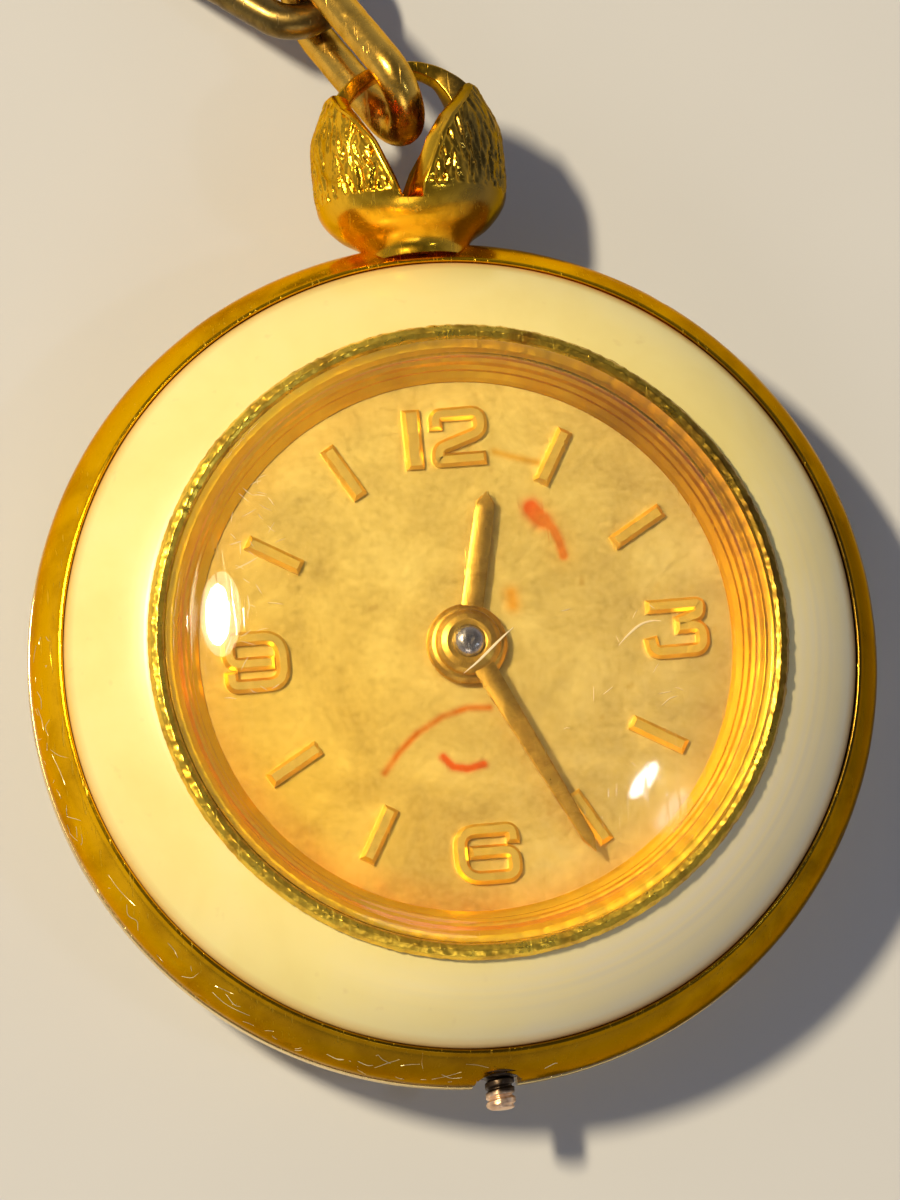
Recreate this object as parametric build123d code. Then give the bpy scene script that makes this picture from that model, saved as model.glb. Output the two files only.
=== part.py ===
from build123d import *
import math
import os

# A ladies' fob watch: a 26 mm gilt case with a wide cream enamel ring, a domed acrylic crystal,
# a champagne dial, a tulip-shaped bow at 12 o'clock with two chain links, and a hand-wound
# 7 3/4 ligne lever movement whose stem comes out at 6 o'clock.
# Frame: origin at the centre of the flat on the case back, +Z out through the dial,
# +Y towards 12 o'clock, +X towards 3 o'clock. Millimetres.

# ---------------------------------------------------------------- case
CASE_R = 13.15          # widest radius of the case
BACK_FLAT_R = 5.0      # flat in the middle of the domed back
SEAM_Z = 3.0           # joint between case back and case middle
LIP_Z = 5.5            # top of the lip that holds the enamel ring
ENAMEL_OUT_R = 12.26   # outer edge of the enamel ring
ENAMEL_IN_R = 9.84     # inner edge of the enamel ring
BORE_R = 9.2           # bore of the case middle
BEZEL_TOP_Z = 7.93     # top of the inner bezel
CRYSTAL_R = 9.31       # edge of the crystal
CRYSTAL_TOP_Z = 9.85   # outside of the crystal at its centre
BACK_WALL = 0.5        # sheet thickness of the case back

# ---------------------------------------------------------------- dial and hands
DIAL_Z = 6.5           # face of the dial
DIAL_T = 0.35
DIAL_R = 9.08
MARK_R = 6.4           # radius of the numerals' centres
MARK_H = 0.26          # height of the applied markers
HOUR_ANGLE = 12.85     # clockwise from 12 o'clock, time about 12:25.7
MINUTE_ANGLE = 154.2
HOUR_LEN = 4.75
MINUTE_LEN = 7.45

# ---------------------------------------------------------------- movement
PLATE_R = 8.75         # 7 3/4 ligne
PLATE_BACK = 3.85      # back face of the main plate
PLATE_TOP = 6.15       # dial seat
BRIDGE_R = 8.0
BRIDGE_BACK = 2.35
BRIDGE_IN = 3.05
STEM_Z = 4.0
STEM_R = 0.45          # tap 10 winding stem, 0.9 mm over the thread
STEM_TIP_Y = -14.0
STEM_BODY_R = 0.62      # thicker where it runs in the tube
TUBE_R = 0.82
STEM_THREAD_END = -13.1   # the crown screws on as far as this
STEM_PULL = 0.6

MOD_BARREL = 0.085     # barrel 78 to centre pinion 10
MOD_CENTRE = 0.060     # centre wheel 80 to third pinion 10
MOD_THIRD = 0.055      # third wheel 75 to fourth pinion 10
MOD_FOURTH = 0.050     # fourth wheel 80 to escape pinion 8
MOD_MOTION_A = 1.6 / 24    # cannon pinion 12 to minute wheel 36
MOD_MOTION_B = 1.6 / 25    # minute pinion 10 to hour wheel 40
MOD_WIND = 0.1103      # crown wheel 36 to ratchet wheel 50

C = (0.0, 0.0)
B = (-3.39, -1.58)     # barrel
T = (2.45, -1.14)      # third wheel
F = (3.62, 0.884)      # fourth wheel
E = (4.0, 3.05)        # escape wheel
P = (2.63, 3.92)       # pallet fork
A = (0.2, 5.45)        # balance
K = (0.0, -4.9)        # crown wheel
M = (0.0, -1.6)        # minute wheel
S = (0.2, -3.68)       # setting wheel
BALANCE_R = 2.6
ESCAPE_R = 1.4

# ---------------------------------------------------------------- bow and links
BOW_Z = 4.2
BOW_NECK_R = 1.08
BOW_POST_R = 0.5
BOW_COLLAR_R = 1.55
ARCH_TOP_Y = 18.95
WIRE_R = 0.575
LINK_HALF = 1.4        # half the distance between the two bars of a link
LINK_STRAIGHT = 3.5
LINK_LEAN = 28.3       # link 1 leans from +Y towards -X
LINK_DROP = 24.0       # and slopes down towards the table
LINK_TWIST = 10.0      # turned about its own length
LINK2_LEAN = 50.0
LINK2_DROP = 16.0

os.makedirs("parts", exist_ok=True)


def save(name, *shapes):
    """Write one node: one solid, or a group of separate solids."""
    solids = []
    for s in shapes:
        solids += list(s.solids()) if hasattr(s, "solids") else [s]
    out = solids[0] if len(solids) == 1 else Compound(solids)
    export_step(out, f"parts/{name}.step")


def turned(*pts):
    """A body of revolution about Z from its (r, z) section. A point with a third item is the middle of an arc."""
    edges = []
    n = len(pts)
    i = 0
    while i < n:
        a = pts[i]
        b = pts[(i + 1) % n]
        if len(b) == 3:
            c = pts[(i + 2) % n]
            edges.append(ThreePointArc((a[0], 0, a[1]), (b[0], 0, b[1]), (c[0], 0, c[1])))
            i += 2
        else:
            edges.append(Line((a[0], 0, a[1]), (b[0], 0, b[1])))
            i += 1
    return revolve(Face(Wire([e.edge() for e in edges])), Axis.Z)


def rod(r, z0, z1, xy=(0.0, 0.0)):
    """Upright cylinder."""
    return Pos(xy[0], xy[1], (z0 + z1) / 2) * Cylinder(r, z1 - z0)


def rod_y(r, y0, y1, x=0.0, z=STEM_Z):
    """Cylinder lying along Y."""
    return Pos(x, (y0 + y1) / 2, z) * Rot(90, 0, 0) * Cylinder(r, y1 - y0)


def block(x0, x1, y0, y1, z0, z1):
    return Pos((x0 + x1) / 2, (y0 + y1) / 2, (z0 + z1) / 2) * Box(x1 - x0, y1 - y0, z1 - z0)


def prism(pts, z0, z1):
    """Upright prism over a polygon."""
    return Pos(0, 0, z0) * extrude(Polygon(*pts, align=None), amount=z1 - z0, dir=(0, 0, 1))


def bar(p, q, w, z0, z1):
    """Flat bar of width w between two points."""
    dx, dy = q[0] - p[0], q[1] - p[1]
    d = math.hypot(dx, dy)
    nx, ny = -dy / d * w / 2, dx / d * w / 2
    return prism([(p[0] + nx, p[1] + ny), (p[0] - nx, p[1] - ny), (q[0] - nx, q[1] - ny), (q[0] + nx, q[1] + ny)], z0, z1)


def circle_pts(r, n, xy=(0.0, 0.0), turn=0.0):
    return [(xy[0] + r * math.cos(2 * math.pi * i / n + turn), xy[1] + r * math.sin(2 * math.pi * i / n + turn)) for i in range(n)]


def tooth_pts(n, m, turn=0.0, tip=1.0, root=1.15):
    """Outline of a cut wheel or pinion with n teeth of module m."""
    rp = n * m / 2
    ro, ri = rp + tip * m, rp - root * m
    step = 2 * math.pi / n
    pts = []
    for i in range(n):
        a = i * step + turn
        for f, r in ((-0.30, ri), (-0.20, rp), (-0.09, ro), (0.09, ro), (0.20, rp), (0.30, ri)):
            pts.append((r * math.cos(a + f * step), r * math.sin(a + f * step)))
    return pts


def ratchet_pts(n, r, depth, turn=0.0, sense=1):
    """Saw-toothed outline."""
    step = 2 * math.pi / n
    pts = []
    for i in range(n):
        a = turn + i * step
        pts.append((r * math.cos(a), r * math.sin(a)))
        pts.append(((r - depth) * math.cos(a + sense * 0.15 * step), (r - depth) * math.sin(a + sense * 0.15 * step)))
    if sense < 0:
        pts = [p for i in range(n) for p in (pts[2 * i + 1], pts[2 * i])]
    return pts


def window(r0, r1, a0, a1):
    """Opening between two arms of a wheel."""
    k = 7
    outer = [(r1 * math.cos(a0 + (a1 - a0) * i / k), r1 * math.sin(a0 + (a1 - a0) * i / k)) for i in range(k + 1)]
    inner = [(r0 * math.cos(a1 - (a1 - a0) * i / 3), r0 * math.sin(a1 - (a1 - a0) * i / 3)) for i in range(4)]
    return Polygon(*(outer + inner), align=None)


def wheel(outline, z0, z1, bore, xy=(0.0, 0.0), arms=0, hub=0.0, rim=0.0, arm_w=0.26):
    """A wheel from its outline, with a faceted bore and, where arms is set, that many arms."""
    face = Polygon(*outline, align=None) - Polygon(*circle_pts(bore, 16), align=None)
    if arms:
        for i in range(arms):
            a = 2 * math.pi * i / arms
            g0 = arm_w / 2 / hub
            g1 = arm_w / 2 / rim
            a0, a1 = a + g1, a + 2 * math.pi / arms - g1
            face -= window(hub, rim, a0 + (g0 - g1) * 0.5, a1 - (g0 - g1) * 0.5)
    return Pos(xy[0], xy[1], z0) * extrude(face, amount=z1 - z0, dir=(0, 0, 1))


def spiral(r0, r1, turns, w, z0, z1, xy=(0.0, 0.0), per=22, start=0.0):
    """Flat coil of strip, w thick, faceted."""
    n = int(turns * per)
    inner, outer = [], []
    for i in range(n + 1):
        a = start + 2 * math.pi * turns * i / n
        r = r0 + (r1 - r0) * i / n
        inner.append((xy[0] + (r - w / 2) * math.cos(a), xy[1] + (r - w / 2) * math.sin(a)))
        outer.append((xy[0] + (r + w / 2) * math.cos(a), xy[1] + (r + w / 2) * math.sin(a)))
    return prism(outer + inner[::-1], z0, z1)


# ================================================================ case
back = turned(
    (0, 0), (BACK_FLAT_R, 0), (8.93, 0.72, 0), (12.7, 2.3), (13.07, 2.46), (13.18, 2.66), (13.14, SEAM_Z - 0.03),
    (12.04, SEAM_Z - 0.03), (12.02, 3.25), (11.62, 3.25), (11.58, 2.75), (8.41, 1.24, 0), (BACK_FLAT_R, BACK_WALL), (0, BACK_WALL),
)
back -= block(-0.7, 0.7, -13.4, -12.55, 2.2, 3.1)  # gap in the lip under the stem
back -= rod_y(TUBE_R + 0.06, -12.3, -11.3)            # the lip clears the stem tube
save("case_back", back)

middle = turned(
    (12.10, SEAM_Z), (13.08, SEAM_Z), (CASE_R, 3.2), (13.05, 4.35, 0), (12.44, 5.42), (12.34, LIP_Z), (12.27, LIP_Z - 0.02),
    (12.26, 5.34), (11.95, 5.02), (9.63, 7.02), (BORE_R, 7.02), (BORE_R, 6.22), (9.95, 6.22), (9.95, 5.98), (11.35, 4.78),
    (12.00, 3.95), (12.10, 3.5),
)
middle -= rod_y(0.9, -13.4, -12.5)
middle -= block(-0.7, 0.7, -13.4, -12.5, SEAM_Z - 0.1, STEM_Z)
middle -= rod_y(TUBE_R, -12.6, -11.0)
middle -= rod_y(BOW_NECK_R + 0.01, 12.48, 13.4, z=BOW_Z)
middle -= rod_y(BOW_POST_R, 11.0, 12.6, z=BOW_Z)
middle -= rod_y(0.74, 10.8, 11.75, z=BOW_Z)   # flat seat for the post head
save("case_middle", middle)

save("enamel_ring", turned((12.25, 5.36), (11.235, 6.60, 0), (ENAMEL_IN_R, 7.43), (9.65, 7.36), (9.66, 7.03), (11.96, 5.05)))

save("inner_bezel", turned(
    (9.22, 7.03), (9.62, 7.03), (9.62, 7.38), (9.80, 7.46), (9.81, 7.62), (9.72, 7.84), (9.55, BEZEL_TOP_Z), (9.41, 7.88),
    (9.34, 7.76), (9.34, 7.54), (9.22, 7.54),
))
save("crystal", turned((0, CRYSTAL_TOP_Z), (0.06, CRYSTAL_TOP_Z), (5.0, 9.33, 0), (CRYSTAL_R, 7.98), (CRYSTAL_R, 7.56), (8.8, 7.56), (8.75, 7.78), (4.8, 8.82, 0), (0.06, 9.30), (0, 9.30)))
save("rehaut_ring", turned((9.18, 6.51), (9.18, 7.53), (9.02, 7.53), (8.15, 6.58), (8.15, 6.51)))
save("stem_tube", rod_y(TUBE_R, -12.9, -11.3) - rod_y(STEM_BODY_R + 0.05, -13.2, -11.0))

ring = turned((8.78, 3.86), (10.7, 3.86), (10.7, 4.3), (9.9, 4.3), (9.9, 5.9), (9.15, 5.9), (9.15, 6.13), (8.78, 6.13))
ring -= rod_y(0.62, -11.2, -8.0)
CLAMPS = [math.radians(128), math.radians(308)]
clamps, clamp_screws = [], []
for a in CLAMPS:
    cx, cy = 9.9 * math.cos(a), 9.9 * math.sin(a)
    ring -= rod(0.30, 3.8, 5.2, (cx, cy))
    c = Rot(0, 0, math.degrees(a)) * (block(8.12, 10.6, -0.8, 0.8, 3.6, 3.85) - rod(0.32, 3.5, 4.0, (9.9, 0)))
    clamps.append(c)
    s = rod(0.30, 3.55, 5.1, (cx, cy)) + rod(0.55, 3.3, 3.6, (cx, cy))
    s -= Pos(cx, cy, 3.3) * Rot(0, 0, 25) * Box(1.4, 0.14, 0.24)
    clamp_screws.append(s)
save("movement_ring", ring)
save("case_clamps", *clamps)
save("case_clamp_screws", *clamp_screws)

# ================================================================ bow and links
# The bow is a bulb-shaped shell, cut by a V from front to back into two petals, with an arch over the gap.
edges = [
    Line((0.0, 0, 13.22), (1.78, 0, 13.22)),
    Spline((1.78, 0, 13.22), (2.45, 0, 13.55), (2.95, 0, 14.25), (3.04, 0, 15.4), (2.95, 0, 16.6), (2.42, 0, 17.85)),
    Line((2.42, 0, 17.85), (1.95, 0, 17.68)),
    Spline((1.95, 0, 17.68), (2.45, 0, 16.6), (2.54, 0, 15.4), (2.3, 0, 14.5), (1.5, 0, 13.98), (0.0, 0, 13.85)),
    Line((0.0, 0, 13.85), (0.0, 0, 13.22)),
]
bulb = revolve(Face(Wire([e.edge() for e in edges])), Axis.Z)
bulb = Pos(0, 0, BOW_Z) * Rot(-90, 0, 0) * bulb
V_RIGHT = [(-0.38, 14.0), (-0.2, 14.35), (0.0, 14.75), (0.25, 15.3), (0.55, 15.95), (1.0, 16.65), (1.55, 17.25), (1.95, 17.7), (2.05, 18.6)]
V_LEFT = [(-0.69, 14.0), (-0.72, 14.3), (-0.9, 14.75), (-1.1, 15.3), (-1.35, 15.95), (-1.75, 16.65), (-2.15, 17.25), (-2.28, 17.7), (-2.32, 18.6)]
vee = prism(V_RIGHT + V_LEFT[::-1], BOW_Z - 4, BOW_Z + 4)
bow = bulb - vee
arch = rod(2.6, BOW_Z - 1.2, BOW_Z + 1.2, (0, 16.35)) - rod(2.12, BOW_Z - 1.3, BOW_Z + 1.3, (0, 16.35))
arch &= block(-4, 4, 17.05, 20, 0, 9)
taper = [(-2.7, 1.0), (-1.95, 0.7), (-1.2, 0.5), (1.2, 0.5), (1.95, 0.7), (2.7, 1.0)]   # the ribbon narrows towards the top
ribbon = Pos(0, 20, BOW_Z) * Rot(90, 0, 0) * extrude(Polygon(*(taper + [(x, -z) for x, z in taper[::-1]]), align=None), amount=4, dir=(0, 0, 1))
arch &= ribbon
bow = bow + arch
band = turned((0, 2), (13.25, 2), (13.25, 3.05), (13.11, 3.05), (CASE_R, 3.2), (13.05, 4.35, 0), (12.44, 5.42), (12.34, LIP_Z), (0, LIP_Z))
collar = rod_y(BOW_COLLAR_R, 12.5, 13.4, z=BOW_Z) - band     # a saddle that sits on the shoulder of the case
bow = bow + collar + rod_y(BOW_NECK_R, 12.5, 13.4, z=BOW_Z)
bow -= rod_y(BOW_POST_R, 12.0, 13.7, z=BOW_Z)
save("bow", bow)
save("bow_post", rod_y(BOW_POST_R, 11.5, 13.7, z=BOW_Z) + rod_y(0.7, 11.42, 11.75, z=BOW_Z))


def unit(v):
    k = math.sqrt(sum(x * x for x in v))
    return tuple(x / k for x in v)


def cross(a, b):
    return (a[1] * b[2] - a[2] * b[1], a[2] * b[0] - a[0] * b[2], a[0] * b[1] - a[1] * b[0])


def link(origin, along, normal):
    """One link: two bars and two half rings of round wire. origin is the centre of the near half ring."""
    h, w, s = LINK_HALF, WIRE_R, LINK_STRAIGHT
    loc = Plane(origin=origin, x_dir=along, z_dir=normal).location
    out = None
    for y in (-h, h):
        b = Pos(s / 2, y, 0) * Rot(0, 90, 0) * Cylinder(w, s)
        out = b if out is None else out + b
    disc = Pos(0, h, 0) * Rot(0, 90, 0) * Circle(w)
    near = revolve(disc, Axis.Z, 180)
    if near.bounding_box().max.X > 0.1:
        near = Rot(0, 0, 180) * near
    out = out + near + Pos(s, 0, 0) * Rot(0, 0, 180) * near
    return loc * out


lean, drop, twist = (math.radians(v) for v in (LINK_LEAN, LINK_DROP, LINK_TWIST))
hx, hy = -math.sin(lean), math.cos(lean)
d1 = (hx * math.cos(drop), hy * math.cos(drop), -math.sin(drop))
u1 = (hx * math.sin(drop), hy * math.sin(drop), math.cos(drop))
l1 = (-hy, hx, 0.0)
t1 = tuple(math.cos(twist) * u1[i] - math.sin(twist) * l1[i] for i in range(3))
n1 = unit(cross(d1, t1))
LINK1_C = (-0.58, 18.14, 4.42)
save("chain_link_1", link(LINK1_C, d1, n1))

reach = LINK_STRAIGHT + LINK_HALF
top1 = tuple(LINK1_C[i] + d1[i] * reach for i in range(3))
lean2, drop2 = math.radians(LINK2_LEAN), math.radians(LINK2_DROP)
d2 = (-math.sin(lean2) * math.cos(drop2), math.cos(lean2) * math.cos(drop2), -math.sin(drop2))
n2 = (t1[0] * 0.55, t1[1] * 0.55, t1[2] * 0.55 + 0.45)
k2 = sum(n2[i] * d2[i] for i in range(3))
n2 = unit(tuple(n2[i] - k2 * d2[i] for i in range(3)))
LINK2_C = tuple(top1[i] + d2[i] * 0.12 for i in range(3))
save("chain_link_2", link(LINK2_C, d2, n2))
print("link 1 pivot", [round(LINK1_C[i] - d1[i] * LINK_HALF, 3) for i in range(3)])
print("link 2 pivot", [round(top1[i], 3) for i in range(3)])
print("link 2 far end", [round(LINK2_C[i] + d2[i] * reach, 3) for i in range(3)], "along", [round(v, 4) for v in d2])

# ================================================================ dial side
FEET = [(-6.84, 3.95), (6.84, -3.95)]
save("dial", rod(DIAL_R, DIAL_Z - DIAL_T, DIAL_Z) - rod(0.85, 6.0, 6.6) + rod(0.3, 4.7, DIAL_Z - DIAL_T + 0.1, FEET[0]) + rod(0.3, 4.7, DIAL_Z - DIAL_T + 0.1, FEET[1]))

batons = []
for hour in (1, 2, 4, 5, 7, 8, 10, 11):
    batons.append(Rot(0, 0, -30 * hour) * prism([(-0.24, 5.5), (0.24, 5.5), (0.24, 7.32), (-0.24, 7.32)], DIAL_Z, DIAL_Z + MARK_H))
save("hour_batons", *batons)


def strokes(pts, w=0.34):
    """A numeral drawn as one bent strip of width w."""
    out = None
    for i in range(len(pts) - 1):
        p, q = pts[i], pts[i + 1]
        d = math.hypot(q[0] - p[0], q[1] - p[1])
        e = w / 2 / d
        p2 = (p[0] - (q[0] - p[0]) * e, p[1] - (q[1] - p[1]) * e)
        q2 = (q[0] + (q[0] - p[0]) * e, q[1] + (q[1] - p[1]) * e)
        s = bar(p2, q2, w, DIAL_Z, DIAL_Z + MARK_H)
        out = s if out is None else out + s
    return out


H = 0.69
one = strokes([(0, -H), (0, H)], 0.52)
two = strokes([(-0.66, 0.3), (-0.6, 0.55), (-0.35, H), (0.4, H), (0.68, 0.48), (0.62, 0.15), (0.1, -0.12), (-0.5, -0.4), (-0.64, -H), (0.7, -H)], 0.4)
three = strokes([(-0.72, H), (0.74, H), (0.5, 0.3), (0.0, 0.06), (0.5, 0.02), (0.78, -0.3), (0.5, -H), (-0.3, -H), (-0.72, -0.32)], 0.4)
six = strokes([(0.76, 0.36), (0.45, H), (-0.35, H), (-0.76, 0.4), (-0.76, -0.4), (-0.35, -H), (0.4, -H), (0.78, -0.3), (0.45, 0.06), (-0.35, 0.06)], 0.4)
nine = Rot(0, 0, 180) * six
save(
    "dial_numerals",
    Pos(-1.0, MARK_R, 0) * one, Pos(0.4, MARK_R, 0) * two, Pos(MARK_R, 0, 0) * three,
    Pos(0, -MARK_R, 0) * six, Pos(-MARK_R, 0, 0) * nine,
)


def hand(length, w0, w1, hub, hole, z0, z1, zh0, zh1, tail=0.0):
    pts = [(-w0 / 2, 0), (w0 / 2, 0), (w1 / 2, length - 0.9), (0.0, length), (-w1 / 2, length - 0.9)]
    h = prism(pts, z0, z1) + rod(hub, zh0, zh1)
    return h - rod(hole, zh0 - 1, zh1 + 1)


save("hour_hand", Rot(0, 0, -HOUR_ANGLE) * hand(HOUR_LEN, 0.56, 0.46, 1.22, 0.72, 6.78, 6.9, 6.68, 6.93))
save("minute_hand", Rot(0, 0, -MINUTE_ANGLE) * hand(MINUTE_LEN, 0.62, 0.34, 1.02, 0.35, 7.12, 7.24, 7.06, 7.32))
save("hand_cap", turned((0.36, 7.33), (0.55, 7.34), (0.40, 7.53, 0), (0.06, 7.6), (0, 7.6), (0, 7.43), (0.36, 7.43)))

# motion work, in the recess under the dial
cannon = wheel(tooth_pts(12, MOD_MOTION_A, turn=math.pi / 12), 5.35, 5.62, 0.24)
cannon += rod(0.40, 5.58, 6.95) + rod(0.35, 6.9, 7.42)
cannon -= rod(0.24, 5.2, 7.35)
save("cannon_pinion", cannon)
hw = wheel(tooth_pts(40, MOD_MOTION_B), 5.68, 5.82, 0.46)
hw += rod(0.72, 5.75, 6.93)
hw -= rod(0.46, 5.6, 7.0)
save("hour_wheel", hw)
mw = wheel(tooth_pts(36, MOD_MOTION_A, turn=math.pi / 2), 5.38, 5.52, 0.2, M)
mw += wheel(tooth_pts(10, MOD_MOTION_B, turn=math.pi / 2), 5.52, 5.86, 0.2, M)
mw -= rod(0.21, 5.3, 5.9, M)
save("minute_wheel", mw)
minute_post = rod(0.17, 4.95, 5.95, M)

# ================================================================ main plate
plate = rod(PLATE_R, PLATE_BACK, PLATE_TOP)
cuts = [
    rod(2.0, 5.28, 6.3), rod(1.45, 5.28, 6.3, M),                         # motion work
    rod(1.08, 4.68, 6.3, S),                                              # setting wheel
    block(-1.55, 1.55, -7.6, -6.6, 3.5, 6.3),                             # winding pinion
    block(-1.02, 1.02, -6.65, -4.2, 3.5, 6.3),                            # clutch wheel
    rod_y(0.50, -9.2, -7.5),                                              # stem
    rod_y(0.26, -4.3, -3.0),                                              # stem pilot
    rod(3.58, 3.5, 4.68, B), rod(0.36, 4.6, 5.4, B),                      # barrel and its arbor
    rod(0.62, 3.5, 4.8), rod(0.28, 4.7, 5.4),                             # centre pinion and arbor
    rod(2.22, 3.5, 3.92, T), rod(0.5, 3.5, 4.0, T),
    rod(2.16, 3.5, 4.32, F),
    rod(1.62, 3.5, 4.02, E), rod(0.5, 3.5, 4.45, E),
    rod(1.15, 3.5, 4.02, P),
    bar(P, A, 1.3, 3.5, 4.02), rod(0.75, 3.5, 4.06, A),
    rod(2.85, 3.5, 3.90, A),
]
pocket = prism([(-4.3, -6.4), (-4.3, -4.6), (-1.0, -4.35), (1.0, -4.35), (3.5, -5.2), (3.5, -7.0), (2.95, -8.3), (1.9, -9.0), (-0.4, -9.0), (-0.4, -8.4), (-2.8, -7.9)], 4.9, 6.3)
cuts.append(pocket)
cuts.append(block(0.2, 1.0, -9.0, -7.6, 3.7, 5.0))                      # way for the setting lever pin
PLATE_JEWELS = [(T, 4.0), (F, 4.32), (E, 4.45), (P, 4.02), (A, 4.1)]
for xy, z in PLATE_JEWELS:
    cuts.append(rod(0.38, z - 0.2, 6.3, xy))
for f in FEET:
    cuts.append(rod(0.32, 4.6, 6.3, f))
SCREWS = [(-7.15, 0.55), (-5.6, -4.95), (2.05, -7.15), (7.1, -0.7), (4.1, -5.9), (6.55, 3.5), (-5.3, 4.75)]
for xy in SCREWS:
    cuts.append(rod(0.22, 3.5, 5.0, xy))
dv = (A[0] - P[0], A[1] - P[1])
dl = math.hypot(*dv)
pv = (-dv[1] / dl, dv[0] / dl)                                             # across the line from pallet fork to balance
PALLET_SCREWS = [(P[0] + 1.35 * pv[0], P[1] + 1.35 * pv[1]), (P[0] - 1.35 * pv[0], P[1] - 1.35 * pv[1])]
for xy in PALLET_SCREWS:
    cuts.append(rod(0.15, 3.5, 4.7, xy))
YOKE = (-2.7, -5.5)
LEVER = (2.25, -7.75)
COVER_SCREW = (-3.2, -6.7)
cuts += [rod(0.17, 4.4, 5.0, YOKE), rod(0.2, 4.3, 5.0, LEVER), rod(0.2, 4.2, 5.0, COVER_SCREW), rod(0.16, 4.4, 5.3, M), rod(0.16, 4.2, 4.8, S)]
for c in cuts:
    plate -= c
plate -= rod(0.17, 4.9, 5.4, M)
save("main_plate", plate)

# ================================================================ bridges
disc8 = rod(BRIDGE_R, 2.0, 4.2)


def bridge(outline, add, take, foot_take, holes, back=BRIDGE_BACK, mid=BRIDGE_IN):
    """A bridge: a plate from its outline, standing on the main plate wherever no wheel needs the room."""
    top = prism(outline, back, mid)
    for a, r in add:
        top += rod(r, back, mid, a)
    foot = prism(outline, mid - 0.01, PLATE_BACK)
    for a, r in take:
        top -= rod(r, 2.0, 4.2, a)
        foot -= rod(r, 2.0, 4.2, a)
    for f in foot_take:
        foot -= f
    body = (top + foot) & disc8
    for h in holes:
        body -= h
    return body


def screw_hole(xy):
    return [rod(0.46, 2.0, 2.68, xy), rod(0.22, 2.0, 4.0, xy)]


barrel_bridge = bridge(
    [(-9, 1.7), (-3.4, 1.7), (-0.6, -2.5), (2.3, -3.2), (2.75, -9), (-9, -9)],
    [(B, 3.12)], [],
    [rod(3.7, 2, 4.2, B), rod(2.7, 2, 4.2), block(-1.65, 1.65, -9, -3.3, 2, 4.2), rod(2.35, 2, 4.2, T)],
    [rod(2.98, 2.0, 2.74, B), rod(0.52, 2.0, 3.2, B), rod(2.16, 2.0, 2.74, K), block(-1.6, 1.6, -7.62, -6.5, 2.0, 3.3),
     rod_y(0.5, -9.2, -7.5), rod(0.35, 2.7, 3.2, K)]
    + [h for s in SCREWS[:3] for h in screw_hole(s)]
    + [prism([(-7.35, -2.75), (-6.3, -2.75), (-5.3, -0.9), (-5.6, 0.1), (-7.6, 0.15)], 2.0, 2.66), rod(0.17, 2.6, 3.0, (-6.75, -2.2))],
)
bsol = barrel_bridge.solids()
barrel_bridge = max(bsol, key=lambda s: s.volume)
save("barrel_bridge", barrel_bridge)

train_bridge = bridge(
    [(-0.75, 0.9), (1.0, 2.25), (2.75, 2.75), (3.15, 3.4), (3.6, 4.9), (5.2, 6.6), (9, 9), (9, -9), (2.95, -9), (2.6, -3.15), (-0.2, -1.9)],
    [], [(B, 3.24), (A, 2.85), (P, 0.55)],
    [rod(2.62, 2, 4.2), rod(2.3, 2, 4.2, T), rod(2.25, 2, 4.2, F), rod(1.75, 2, 4.2, E), rod(1.3, 2, 4.2, P), bar((1.4, 2.0), (3.3, 5.4), 2.2, 2, 4.2)],
    [rod(0.38, 2.0, 3.2, xy) for xy in (C, T, F, E)] + [h for s in SCREWS[3:6] for h in screw_hole(s)],
)
train_bridge = max(train_bridge.solids(), key=lambda s: s.volume)
save("train_bridge", train_bridge)

cock = prism([(0.2, 4.65), (0.95, 4.95), (1.05, 5.45), (0.95, 5.95), (0.2, 6.25), (-3.2, 6.3), (-3.9, 6.8), (-7.9, 6.8), (-7.9, 2.7), (-4.4, 3.0), (-3.3, 4.4)], BRIDGE_BACK, 2.85)
foot = prism([(-3.75, 6.8), (-7.9, 6.8), (-7.9, 2.7), (-4.4, 3.0), (-3.6, 4.1)], 2.84, PLATE_BACK) - rod(2.95, 2, 4.2, A)
cock = (cock + foot) & disc8
cock -= rod(0.38, 2.0, 3.0, A)
for h in screw_hole(SCREWS[6]):
    cock -= h
cock -= rod(0.12, 2.0, 3.0, (-1.15, 5.2))
cock = max(cock.solids(), key=lambda s: s.volume)

pb = bar((P[0] - 1.75 * pv[0], P[1] - 1.75 * pv[1]), (P[0] + 1.75 * pv[0], P[1] + 1.75 * pv[1]), 0.74, 3.48, 3.7)
for s in PALLET_SCREWS:
    pb += rod(0.36, 3.6, PLATE_BACK, s)
    pb -= rod(0.15, 3.4, 4.0, s)
pb -= rod(0.26, 3.4, 3.8, P)
save("pallet_bridge", pb)

jewels = []
for xy, z in PLATE_JEWELS:
    jewels.append(rod(0.37, z + 0.02, z + 0.27, xy) - rod(0.12, z - 0.1, z + 0.4, xy))
for xy in (C, T, F, E):
    jewels.append(rod(0.37, 2.45, 2.7, xy) - rod(0.12 if xy != C else 0.2, 2.3, 2.9, xy))
jewels.append(rod(0.37, 2.45, 2.7, A) - rod(0.12, 2.3, 2.9, A))
jewels.append(rod(0.25, 3.5, 3.68, P) - rod(0.11, 3.4, 3.8, P))
save("jewels", *jewels)


def screw(xy, r, rh, z0, zh, z1, slot, turn):
    s = rod(rh, z0, zh, xy) + rod(r, z0, z1, xy)
    return s - Pos(xy[0], xy[1], z0) * Rot(0, 0, turn) * Box(rh * 2.4, slot, 0.22)


big = [screw(xy, 0.20, 0.43, 2.38, 2.66, 4.8, 0.12, 37 * i) for i, xy in enumerate(SCREWS)]
small = [screw(xy, 0.13, 0.26, 3.36, 3.47, 4.5, 0.07, 60 * i) for i, xy in enumerate(PALLET_SCREWS)]
save("bridge_screws", *(big + small))

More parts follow.
